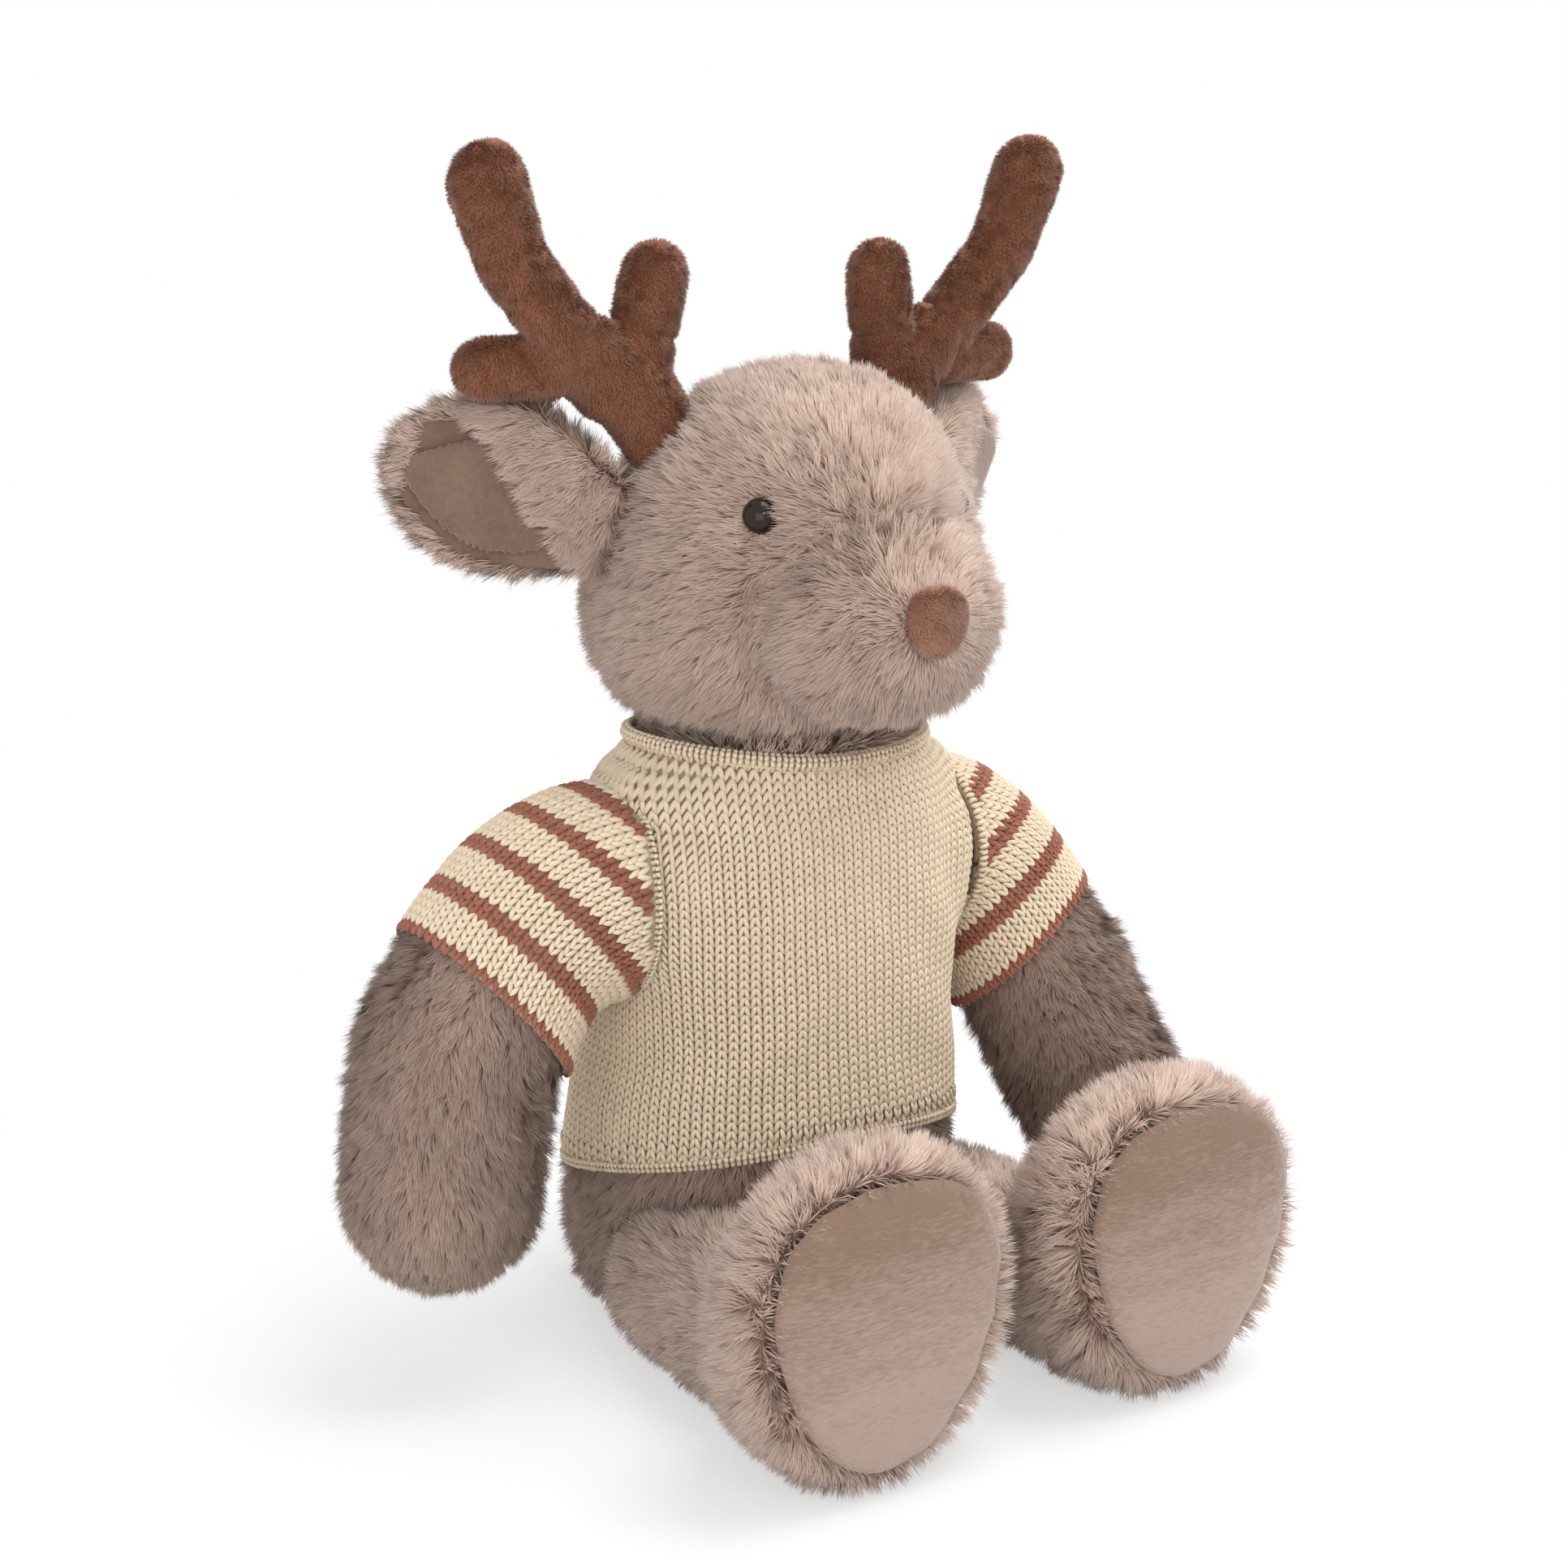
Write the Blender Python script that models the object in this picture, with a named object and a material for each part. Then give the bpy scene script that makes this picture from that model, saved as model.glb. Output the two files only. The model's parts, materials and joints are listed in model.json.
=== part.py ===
# A sitting plush deer in a knitted sweater: sewn skins over stuffing, with floppy neck, arms, legs and ears.
# Metres, +Z up. The origin is the middle of the flat seat. The deer faces -Y and its right side is -X.
import math

import bmesh
import bpy
from mathutils import Matrix, Vector

# Fits that all pieces share
SEAM_GAP = 0.0003
TURN_GAP = 0.0007
SKIN = 0.0018
KNIT = 0.0015
KNIT_GAP = 0.0008
OVERRUN = 0.030
FLOOR_CUT = 0.0005

# Torso, widest near the seat and drawn in to the shoulders
TORSO_HEIGHT = 0.1455
TORSO_HALF_WIDTH = 0.0475
TORSO_HALF_DEPTH = 0.0460
TORSO_BACK = 0.0165
TORSO_LEAN = 0.0155
NECK_HOLE_RADIUS = 0.0150
TORSO_SIDES = 24
TORSO_INNER_SIDES = 14
# Share of the height, of the half width, of the half depth and of the lean, then how square the ring is
TORSO_SHARES = [
    (0.000, 0.66, 0.64, 0.00, 2.0),
    (0.050, 0.90, 0.89, 0.08, 2.0),
    (0.155, 1.00, 1.00, 0.26, 2.1),
    (0.310, 1.00, 0.96, 0.48, 2.2),
    (0.480, 0.94, 0.86, 0.65, 2.3),
    (0.650, 0.86, 0.76, 0.83, 2.7),
    (0.820, 0.81, 0.72, 0.87, 3.0),
    (0.920, 0.79, 0.68, 0.91, 2.9),
    (0.972, 0.71, 0.57, 0.96, 2.4),
    (1.000, 0.55, 0.44, 1.00, 2.1),
]
TORSO_RING_SHARES = (0, 0.05, 0.1, 0.155, 0.23, 0.31, 0.4, 0.48, 0.57, 0.65, 0.74, 0.82, 0.88, 0.92, 0.95, 0.972, 1)
TORSO_INNER_RING_SHARES = (0, 0.05, 0.155, 0.31, 0.48, 0.65, 0.82, 0.92, 0.972, 1)

# Bag of pellets that weighs down the seat
PELLET_HALF_WIDTH = 0.0290
PELLET_HALF_DEPTH = 0.0190
PELLET_HEIGHT = 0.0240
PELLET_BACK = 0.0260
PELLET_FULLNESS = 0.7

# Sweater
HEM_FRONT_SHARE = 0.385
HEM_BACK_SHARE = 0.23
COLLAR_SHARE = 0.972
COLLAR_ROLL = 0.0019
HEM_ROWS = 3
ARMHOLE_ROUND = 0.0010
RIM_FLARE = 0.0028
RIM_SPLIT = 0.0016
RIM_DEPTH = 0.0095

# Tail
TAIL_LENGTH = 0.0240
TAIL_RADIUS = 0.0085
TAIL_HEIGHT = 0.0200
TAIL_RISE_SHARE = 0.35

# Neck, a short plug with a round top that the head turns and nods on
NECK_RADIUS = 0.0205
NECK_BACK = 0.0020
NECK_CENTRE_RISE = 0.0045
NECK_PLUG_CAP_SHARE = 0.62

# Skull, a ball with full cheeks whose forehead leans forward
HEAD_RISE = 0.0085
SKULL_HEIGHT = 0.0850
SKULL_HALF_WIDTH = 0.0475
SKULL_HALF_DEPTH = 0.0455
SKULL_FORWARD = 0.0010
FOREHEAD_LEAN = 0.0080
SKULL_SIDES = 24
SKULL_INNER_SIDES = 16
# Share of the height, of the half width, of the half depth and of the lean
SKULL_SHARES = [
    (0.00, 0.50, 0.50, 0.00),
    (0.03, 0.70, 0.69, 0.00),
    (0.12, 0.89, 0.89, 0.00),
    (0.28, 1.00, 1.00, 0.00),
    (0.46, 0.99, 1.00, 0.08),
    (0.64, 0.91, 0.93, 0.28),
    (0.80, 0.74, 0.78, 0.62),
    (0.92, 0.50, 0.54, 0.88),
    (0.98, 0.27, 0.30, 0.98),
    (1.00, 0.12, 0.13, 1.00),
]
SKULL_RING_SHARES = (0, 0.03, 0.07, 0.12, 0.2, 0.3, 0.4, 0.5, 0.6, 0.7, 0.79, 0.87, 0.93, 0.97, 1)
SKULL_INNER_RING_SHARES = (0, 0.03, 0.12, 0.28, 0.46, 0.64, 0.8, 0.92, 0.98, 1)

# Muzzle, a blunt bulb sewn on the face
MUZZLE_HALF_WIDTH = 0.0315
MUZZLE_HALF_HEIGHT = 0.0245
MUZZLE_LENGTH = 0.0560
MUZZLE_HEIGHT_SHARE = 0.330
MUZZLE_OUT = 0.0150
MUZZLE_FULLNESS = 2.25
MUZZLE_SIDES = 20
MUZZLE_INNER_SIDES = 14
MUZZLE_RING_SHARES = (0.03, 0.1, 0.22, 0.38, 0.55, 0.7, 0.82, 0.9, 0.955, 0.985)

# Nose pad
NOSE_HALF_WIDTH = 0.0078
NOSE_HALF_HEIGHT = 0.0075
NOSE_THICKNESS = 0.0052
NOSE_SEAT_SHARE = 0.45
NOSE_HEIGHT_SHARE = 0.10

# Eyes with a shank through the skin and a lock washer behind it
EYE_RADIUS = 0.0045
EYE_DOME = 0.0034
EYE_FOOT_GAP = 0.0004
SHANK_RADIUS = 0.0013
SHANK_LENGTH = 0.0080
WASHER_RADIUS = 0.0046
WASHER_THICKNESS = 0.0010
WASHER_SET_BACK = 0.0020
EYE_HEIGHT_SHARE = 0.635
EYE_TURN_DEGREES = 43.0
EYE_SIDES = 16

# Antlers, stuffed felt tines in one upright plane; places are from the antler's foot
ANTLER_HEIGHT_SHARE = 0.81
ANTLER_FOOT_TURN_DEGREES = 104.0
ANTLER_SINK = 0.0040
ANTLER_SIDES = 12
ANTLER_FLATNESS_SHARE = 0.86
TRUNK_RADIUS = 0.0105
TRUNK_RISE = 0.0190
TRUNK_OUT = 0.0080
TRUNK_BACK = 0.0050
MAIN_TINE_RADIUS = 0.0090
MAIN_TINE_OUT = 0.0360
MAIN_TINE_RISE = {"right": 0.0395, "left": 0.0425}
MAIN_TINE_BOW = 0.0040
MAIN_TINE_FORWARD = 0.0050
INNER_TINE_RADIUS = 0.0083
INNER_TINE_IN = 0.0090
INNER_TINE_RISE = 0.0185
OUTER_TINE_RADIUS = 0.0072
OUTER_TINE_OUT = 0.0325
OUTER_TINE_DROP = 0.0020
PALM_ROOT_OUT = 0.0060

# Ears, leaf-shaped cushions with a velour lining sewn in front
EAR_LENGTH = 0.0500
EAR_HALF_HEIGHT = 0.0200
EAR_THICKNESS = 0.0075
EAR_SWEEP_DEGREES = {"right": 27.0, "left": 33.0}
EAR_RISE_DEGREES = {"right": 20.0, "left": 16.0}
EAR_ROOT_HEIGHT_SHARE = 0.575
EAR_ROOT_TURN_DEGREES = 98.0
EAR_ROOT_RADIUS = 0.0031
EAR_CUP = 0.0040
EAR_SIDES = 16
LINING_THICKNESS = 0.0016
LINING_LENGTH_SHARES = (0.10, 0.93)
LINING_HEIGHT_SHARE = 0.66
# Share of the length, then of the half height and of the thickness
EAR_SHARES = [
    (0.00, 0.56, 0.83),
    (0.15, 0.74, 0.94),
    (0.40, 0.98, 1.00),
    (0.58, 1.00, 0.98),
    (0.78, 0.82, 0.88),
    (0.92, 0.50, 0.70),
    (1.00, 0.16, 0.34),
]
EAR_RING_SHARES = (0, 0.08, 0.2, 0.35, 0.5, 0.64, 0.78, 0.88, 0.95, 1)

# Arms; the shoulder face looks a little to the back
SHOULDER_HEIGHT_SHARE = 0.795
SHOULDER_BACK = 0.0010
SHOULDER_TURN_DEGREES = 12.0
SHOULDER_FACE_OUT = 0.0028
SHOULDER_ROOM = 0.0007
ARM_ROOT_RADIUS = 0.0195
ARM_RADIUS = {"right": 0.0225, "left": 0.0205}
ARM_OUT = {"right": 0.0505, "left": 0.0350}
ARM_FORWARD = {"right": 0.0000, "left": 0.0410}
ARM_DROP = {"right": 0.0650, "left": 0.0690}
ARM_ROOT_PULL = {"right": 0.0330, "left": 0.0300}
ARM_END_PULL = 0.0300
ARM_END_OUT_SHARE = {"right": 0.085, "left": 0.277}
ARM_END_FORWARD_SHARE = {"right": 0.0, "left": 0.537}
ARM_SIDES = 18
ARM_INNER_SIDES = 12
ARM_RING_SHARES = (0, 0.065, 0.13, 0.195, 0.26, 0.325, 0.39, 0.455, 0.52, 0.64, 0.76, 0.88, 1)
ARM_ROOT_STEP = 0.0003
# Share of the way to the paw, then of the radius
ARM_SHARES = [(0.00, 0.00), (0.10, 0.55), (0.30, 0.92), (0.55, 0.99), (0.80, 1.04), (1.00, 1.00)]

# Sleeves
SLEEVE_ROOT_ROUND = 0.0030
SLEEVE_FLARE = 0.0007
SLEEVE_SIDES = 22
SLEEVE_RINGS = 8

# Legs; the hip is a ball that sits in a cup of the torso, which leaves room for the leg's swing
LEG_SWING_UP_DEGREES = 6.0
LEG_SWING_DOWN_DEGREES = 75.0
LEG_RADIUS = 0.0200
LEG_REACH = 0.0875
HIP_SPREAD = 0.0355
HIP_INSET = 0.0190
FOOT_SPLAY = {"right": 0.0065, "left": 0.0105}
FOOT_HALF_WIDTH = 0.0365
FOOT_HEIGHT = 0.0785
FOOT_DEPTH = 0.0420
FOOT_EGG_SHARE = 0.10
LEG_SIDES = 22
LEG_INNER_SIDES = 14
HIP_RINGS = 5
HIP_WEDGE_SHARE = 0.995
# Share of the foot's depth, then how far the ring has grown and risen from the leg to the foot
FOOT_SHARES = [
    (0.00, 0.00, 0.00),
    (0.18, 0.16, 0.16),
    (0.36, 0.58, 0.58),
    (0.54, 0.90, 0.90),
    (0.74, 1.00, 1.00),
    (0.90, 0.93, 1.01),
    (1.00, 0.77, 1.02),
]
FOOT_RING_SHARES = (0, 0.1, 0.2, 0.3, 0.4, 0.52, 0.64, 0.76, 0.86, 0.94, 1)
FOOT_INNER_RING_SHARES = (0, 0.2, 0.4, 0.64, 0.86, 1)

# Sole pads
PAD_HALF_WIDTH = 0.0295
PAD_HALF_HEIGHT = 0.0310
PAD_THICKNESS = 0.0024
PAD_RECESS = 0.0008
PAD_CROWN = 0.0012
PAD_SIDES = 24

COLOURS = {
    "fur": ((0.40, 0.31, 0.26), 0.95),
    "velour": ((0.42, 0.31, 0.26), 0.85),
    "ear_velour": ((0.26, 0.19, 0.155), 0.85),
    "felt": ((0.22, 0.090, 0.045), 0.90),
    "nose_velour": ((0.28, 0.13, 0.085), 0.80),
    "knit": ((0.60, 0.52, 0.38), 0.90),
    "stuffing": ((0.85, 0.85, 0.83), 0.95),
    "pellets": ((0.75, 0.75, 0.72), 0.80),
    "eye": ((0.020, 0.012, 0.010), 0.10),
    "washer": ((0.80, 0.80, 0.78), 0.40),
}

RIGHT, LEFT = "right", "left"
SIDE_SIGN = {RIGHT: -1, LEFT: 1}
X, Y, Z = Vector((1, 0, 0)), Vector((0, 1, 0)), Vector((0, 0, 1))


# Tools: tables, rings, lofts and cuts

def at(table, share):
    """The row of a share table at any share, on a smooth curve through its rows."""
    last = len(table) - 2
    k = min(max(sum(row[0] <= share for row in table) - 1, 0), last)
    low, high = table[k], table[k + 1]
    width = high[0] - low[0]
    u = (share - low[0]) / width
    before = table[max(k - 1, 0)]
    after = table[min(k + 2, last + 1)]
    values = []
    for a, b, p, q in zip(low, high, before, after):
        slope_low = (b - p) * width / (high[0] - before[0])
        slope_high = (q - a) * width / (after[0] - low[0])
        values.append(
            a * (2 * u**3 - 3 * u**2 + 1)
            + slope_low * (u**3 - 2 * u**2 + u)
            + b * (3 * u**2 - 2 * u**3)
            + slope_high * (u**3 - u**2)
        )
    return values


def material(slot):
    found = bpy.data.materials.get(slot)
    if found:
        return found
    colour, roughness = COLOURS[slot]
    made = bpy.data.materials.new(slot)
    made.use_nodes = True
    shader = made.node_tree.nodes["Principled BSDF"]
    shader.inputs["Base Color"].default_value = (*colour, 1)
    shader.inputs["Roughness"].default_value = roughness
    made.diffuse_color = (*colour, 1)
    return made


def ring(centre, across, up, half_across, half_up, sides, squareness=2.0, egg=0.0):
    points = []
    for k in range(sides):
        turn = 2 * math.pi * k / sides
        c, s = math.cos(turn), math.sin(turn)
        x = math.copysign(abs(c) ** (2 / squareness), c) * (1 + egg * s)
        y = math.copysign(abs(s) ** (2 / squareness), s)
        points.append(centre + across * (half_across * x) + up * (half_up * y))
    return points


def lofted(name, rings, slot, helper=False, closed_loop=False):
    """A solid through rings of points. Its ends are flat caps, or it runs round in a loop."""
    mesh = bmesh.new()
    rows = [[mesh.verts.new(point) for point in points] for points in rings]
    pairs = list(zip(rows, rows[1:]))
    if closed_loop:
        pairs.append((rows[-1], rows[0]))
    else:
        mesh.faces.new(rows[0][::-1])
        mesh.faces.new(rows[-1])
    for low, high in pairs:
        for k in range(len(low)):
            n = (k + 1) % len(low)
            mesh.faces.new((low[k], low[n], high[n], high[k]))
    return finished(name, mesh, slot, helper)


def finished(name, mesh, slot, helper=False):
    bmesh.ops.recalc_face_normals(mesh, faces=mesh.faces)
    if mesh.calc_volume(signed=True) < 0:
        bmesh.ops.reverse_faces(mesh, faces=mesh.faces)
    data = bpy.data.meshes.new(name)
    mesh.to_mesh(data)
    mesh.free()
    data.shade_smooth()
    obj = bpy.data.objects.new(name, data)
    bpy.context.scene.collection.objects.link(obj)
    if helper:
        obj.hide_render = True
        obj.display_type = "WIRE"
    else:
        data.materials.append(material(slot))
    return obj


def boolean(obj, other, operation):
    step = obj.modifiers.new(f"{operation.lower()} {other.name}", "BOOLEAN")
    step.operation = operation
    step.object = other
    step.solver = "EXACT"
    return obj


def cut(obj, *others):
    for other in others:
        boolean(obj, other, "DIFFERENCE")
    return obj


def join(obj, *others):
    for other in others:
        boolean(obj, other, "UNION")
    return obj


def ball(name, centre, radius, sides=20, rings=11, slot=None, half_length=0.0, axis=X):
    """A ball, or a capsule where half_length pulls its halves apart along the axis."""
    side, up = frame_of(axis)
    rows = []
    for k in range(1, 2 * rings):
        turn = math.pi * k / (2 * rings)
        reach = -math.cos(turn) * radius + math.copysign(half_length, k - rings)
        rows.append(ring(centre + axis * reach, side, up, radius * math.sin(turn), radius * math.sin(turn), sides))
    return lofted(name, rows, slot, helper=slot is None)


def rod(name, start, end, radius, sides=20, slot=None, end_radius=None):
    side, up = frame_of((end - start).normalized())
    last = radius if end_radius is None else end_radius
    rows = [ring(start, side, up, radius, radius, sides), ring(end, side, up, last, last, sides)]
    return lofted(name, rows, slot, helper=slot is None)


def frame_of(axis, hint=Z):
    """Two directions square to the axis, the first of them level where it can be."""
    if abs(axis.dot(hint)) > 1 - 1e-6:
        hint = Y
    side = axis.cross(hint).normalized()
    return side, side.cross(axis).normalized()


def box(name, low, high):
    mesh = bmesh.new()
    size = high - low
    place = Matrix.Translation((low + high) / 2) @ Matrix.Diagonal((*size, 1))
    bmesh.ops.create_cube(mesh, size=1, matrix=place)
    return finished(name, mesh, None, helper=True)


def named(side, piece):
    return f"{piece}_{side}"


# Torso

def torso_middle(lean):
    return TORSO_BACK - TORSO_LEAN * lean


def torso_ring(share, grow, sides):
    height, width, depth, lean, square = at(TORSO_SHARES, share)
    centre = Vector((0, torso_middle(lean), TORSO_HEIGHT * height + grow * (2 * share - 1)))
    return ring(centre, X, Y, TORSO_HALF_WIDTH * width + grow, TORSO_HALF_DEPTH * depth + grow, sides, square)


def torso_rings(grow, sides=TORSO_SIDES, shares=TORSO_RING_SHARES):
    return [torso_ring(s, grow, sides) for s in shares]


def torso_point(turn, share, grow):
    """A point of the torso's surface, pushed out by grow. Turn 0 is at +X and goes round by +Y."""
    height, width, depth, lean, square = at(TORSO_SHARES, share)
    c, s = math.cos(turn), math.sin(turn)
    x = math.copysign(abs(c) ** (2 / square), c) * (TORSO_HALF_WIDTH * width + grow)
    y = math.copysign(abs(s) ** (2 / square), s) * (TORSO_HALF_DEPTH * depth + grow)
    return Vector((x, y + torso_middle(lean), TORSO_HEIGHT * height))


def hip_centre(side):
    lean = at(TORSO_SHARES, LEG_RADIUS / TORSO_HEIGHT)
    front = torso_middle(lean[3]) - TORSO_HALF_DEPTH * lean[2]
    return Vector((SIDE_SIGN[side] * HIP_SPREAD, front + HIP_INSET, LEG_RADIUS - FLOOR_CUT))


def shoulder_axis(side):
    turn = math.radians(SHOULDER_TURN_DEGREES)
    return Vector((SIDE_SIGN[side] * math.cos(turn), math.sin(turn), 0))


def shoulder_centre(side):
    chest = at(TORSO_SHARES, SHOULDER_HEIGHT_SHARE)
    reach = TORSO_HALF_WIDTH * chest[1] + KNIT_GAP + KNIT + SHOULDER_FACE_OUT
    place = torso_middle(chest[3]) + SHOULDER_BACK
    return Vector((SIDE_SIGN[side] * reach, place, TORSO_HEIGHT * SHOULDER_HEIGHT_SHARE))


def shoulder_boss(side, name):
    """The round end of the torso's shoulder, where the arm is sewn on."""
    centre, axis = shoulder_centre(side), shoulder_axis(side)
    return rod(name, centre - axis * (TORSO_HALF_WIDTH / 2), centre - axis * SEAM_GAP, ARM_ROOT_RADIUS, ARM_SIDES)


def shoulder_room(side, name, inset):
    """All that is outside the shoulder face, within reach of the sleeve's root."""
    centre, axis = shoulder_centre(side), shoulder_axis(side)
    radius = ARM_ROOT_RADIUS + KNIT_GAP + KNIT + SLEEVE_ROOT_ROUND + SHOULDER_ROOM + inset
    return rod(name, centre - axis * inset, centre + axis * OVERRUN, radius, SLEEVE_SIDES)


def make_torso():
    skin = lofted("torso_skin", torso_rings(0), "fur")
    hollow = torso_hollow("torso_hollow", SKIN, helper=True)
    for side in SIDE_SIGN:
        join(skin, shoulder_boss(side, named(side, "shoulder_boss")))
        cut(skin, shoulder_room(side, named(side, "shoulder_room"), 0))
    for side in SIDE_SIGN:
        cut(skin, *hip_room(side, "hip_cup", LEG_RADIUS + TURN_GAP))
    neck = neck_place()
    top = Vector((neck.x, neck.y, TORSO_HEIGHT + OVERRUN))
    opening = rod("neck_opening", top - Z * (2 * OVERRUN), top, NECK_HOLE_RADIUS)
    cut(skin, hollow, opening)

    filling = torso_hollow("torso_filling", SKIN + SEAM_GAP, helper=False)
    cut(filling, pellet_form("pellet_pocket", SEAM_GAP, helper=True))
    pellet_form("pellet_bag", 0, helper=False)


def torso_hollow(name, inset, helper):
    """The space inside the torso's skin, also over the hip cups."""
    inner = lofted(name, torso_rings(-inset, TORSO_INNER_SIDES, TORSO_INNER_RING_SHARES), "stuffing", helper)
    for side in SIDE_SIGN:
        cut(inner, shoulder_room(side, f"{name}_shoulder_{side}", inset))
        cut(inner, *hip_room(side, f"{name}_hip", LEG_RADIUS + TURN_GAP + inset, sides=16, rings=8))
    return inner


def hip_room(side, name, radius, sides=20, rings=10):
    """All that the leg sweeps on its way from its highest to its lowest place."""
    hip = hip_centre(side)
    cutters = [ball(named(side, name), hip, radius, sides, rings)]
    for way, degrees in (("up", LEG_SWING_UP_DEGREES), ("down", -LEG_SWING_DOWN_DEGREES)):
        turn = math.radians(degrees)
        ahead = Vector((0, -math.cos(turn), math.sin(turn)))
        cutters.append(rod(f"{name}_{way}_{side}", hip, hip + ahead * LEG_REACH, radius, sides))
    low = hip - Vector((radius * HIP_WEDGE_SHARE, LEG_REACH, LEG_REACH))
    high = hip + Vector((radius * HIP_WEDGE_SHARE, 0, 0))
    cutters.append(box(f"{name}_wedge_{side}", low, high))
    return cutters


def pellet_form(name, grow, helper):
    """The bag on the seat's skin. As a cutter it also runs down through the seat."""
    centre = Vector((0, PELLET_BACK, SKIN + SEAM_GAP + PELLET_HEIGHT / 2))
    rows = []
    steps = 7
    for k in range(1, steps):
        turn = math.pi * k / steps
        swell = math.sin(turn) ** PELLET_FULLNESS if k > steps / 2 or not helper else 1
        drop = -math.cos(turn) * (PELLET_HEIGHT / 2 + grow)
        rows.append(ring(
            centre + Z * drop, X, Y, PELLET_HALF_WIDTH * swell + grow, PELLET_HALF_DEPTH * swell + grow, 14,
        ))
    if helper:
        rows[0] = [point - Z * OVERRUN for point in rows[0]]
    return lofted(name, rows, "pellets", helper)


def make_tail():
    back = at(TORSO_SHARES, TAIL_HEIGHT / TORSO_HEIGHT)
    root = Vector((0, TORSO_HALF_DEPTH * back[2] + torso_middle(back[3]), TAIL_HEIGHT))
    axis = Vector((0, 1, TAIL_RISE_SHARE)).normalized()
    side, up = frame_of(axis)
    rows = []
    for share, width in ((0, 0.55), (0.15, 0.72), (0.35, 0.93), (0.55, 1.0), (0.75, 0.86), (0.9, 0.56), (1, 0.22)):
        place = root + axis * (TAIL_LENGTH * share - SKIN * 2)
        rows.append(ring(place, side, up, TAIL_RADIUS * width, TAIL_RADIUS * width, 12))
    tail = lofted("tail", rows, "fur")
    cut(tail, lofted("tail_root_cut", torso_rings(SEAM_GAP), None, True))


# Sweater

def hem_share(turn):
    front = (1 - math.sin(turn)) / 2
    return HEM_BACK_SHARE + (HEM_FRONT_SHARE - HEM_BACK_SHARE) * front


def make_sweater_panel(name, first, last):
    """Half of the sweater's body between two side seams, as a shell with a rim at each armhole."""
    middle = -math.sin((first + last) / 2)
    columns = TORSO_SIDES // 2
    seam = SEAM_GAP / TORSO_HALF_WIDTH
    chest = [s for s in TORSO_RING_SHARES if HEM_FRONT_SHARE < s <= COLLAR_SHARE]
    last_row = HEM_ROWS + len(chest) - 1
    mesh = bmesh.new()
    skins = []
    for grow in (KNIT_GAP, KNIT_GAP + KNIT):
        grid = []
        for j in range(columns + 1):
            turn = first + (last - first) * j / columns
            if j in (0, columns):
                turn += seam if j == 0 else -seam
            low = hem_share(turn)
            shares = [low + (HEM_FRONT_SHARE - low) * i / HEM_ROWS for i in range(HEM_ROWS)] + chest
            grid.append([mesh.verts.new(torso_point(turn, share, grow)) for share in shares])
        skins.append(grid)
    inner, outer = skins
    rows = range(last_row)
    for j in range(columns):
        for i in rows:
            mesh.faces.new((outer[j][i], outer[j + 1][i], outer[j + 1][i + 1], outer[j][i + 1]))
            mesh.faces.new((inner[j][i], inner[j][i + 1], inner[j + 1][i + 1], inner[j + 1][i]))
        mesh.faces.new((outer[j][0], inner[j][0], inner[j + 1][0], outer[j + 1][0]))
        mesh.faces.new((outer[j + 1][last_row], inner[j + 1][last_row], inner[j][last_row], outer[j][last_row]))
    for i in rows:
        mesh.faces.new((outer[0][i], outer[0][i + 1], inner[0][i + 1], inner[0][i]))
        mesh.faces.new((outer[columns][i + 1], outer[columns][i], inner[columns][i], inner[columns][i + 1]))
    panel = finished(name, mesh, "knit")
    for side in SIDE_SIGN:
        centre, axis = shoulder_centre(side), shoulder_axis(side)
        radius = ARM_ROOT_RADIUS + KNIT_GAP + ARMHOLE_ROUND
        cut(panel, shoulder_room(side, f"{name}_room_{side}", 0))
        outer_radius = radius + KNIT + RIM_FLARE
        rim = rod(f"{name}_rim_{side}", centre - axis * RIM_DEPTH, centre - axis * SEAM_GAP, outer_radius, SLEEVE_SIDES)
        halves = torso_middle(at(TORSO_SHARES, SHOULDER_HEIGHT_SHARE)[3])
        clear = Vector((OVERRUN * 3, 2 * OVERRUN, 2 * OVERRUN))
        keep = Vector((0, halves + math.copysign(2 * OVERRUN - RIM_SPLIT, middle), centre.z))
        other_half = box(f"{name}_half_{side}", keep - clear, keep + clear)
        cut(rim, other_half, lofted(f"{name}_rim_seat_{side}", torso_rings(KNIT_GAP), None, True))
        join(panel, rim)
        start = centre - axis * (TORSO_HALF_WIDTH / 2)
        cut(panel, rod(f"{name}_armhole_{side}", start, centre + axis * OVERRUN, radius, SLEEVE_SIDES))
    return panel


def make_collar():
    """The rolled edge round the neckline, on the torso's shoulders."""
    rows = []
    grow = KNIT_GAP + KNIT / 2
    for k in range(TORSO_SIDES):
        turn = 2 * math.pi * k / TORSO_SIDES
        step = 2 * math.pi / TORSO_SIDES
        place = torso_point(turn, COLLAR_SHARE, grow)
        along = (torso_point(turn + step, COLLAR_SHARE, grow) - torso_point(turn - step, COLLAR_SHARE, grow)).normalized()
        out = along.cross(Z).normalized()
        centre = place + Z * (COLLAR_ROLL + SEAM_GAP)
        rows.append(ring(centre, out, Z, COLLAR_ROLL, COLLAR_ROLL, 8))
    collar = lofted("sweater_collar", rows, "knit", closed_loop=True)
    cut(collar, lofted("collar_seat", torso_rings(KNIT_GAP + SEAM_GAP), None, True))


# Neck

def neck_place():
    return Vector((0, NECK_BACK, TORSO_HEIGHT + NECK_CENTRE_RISE))


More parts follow.
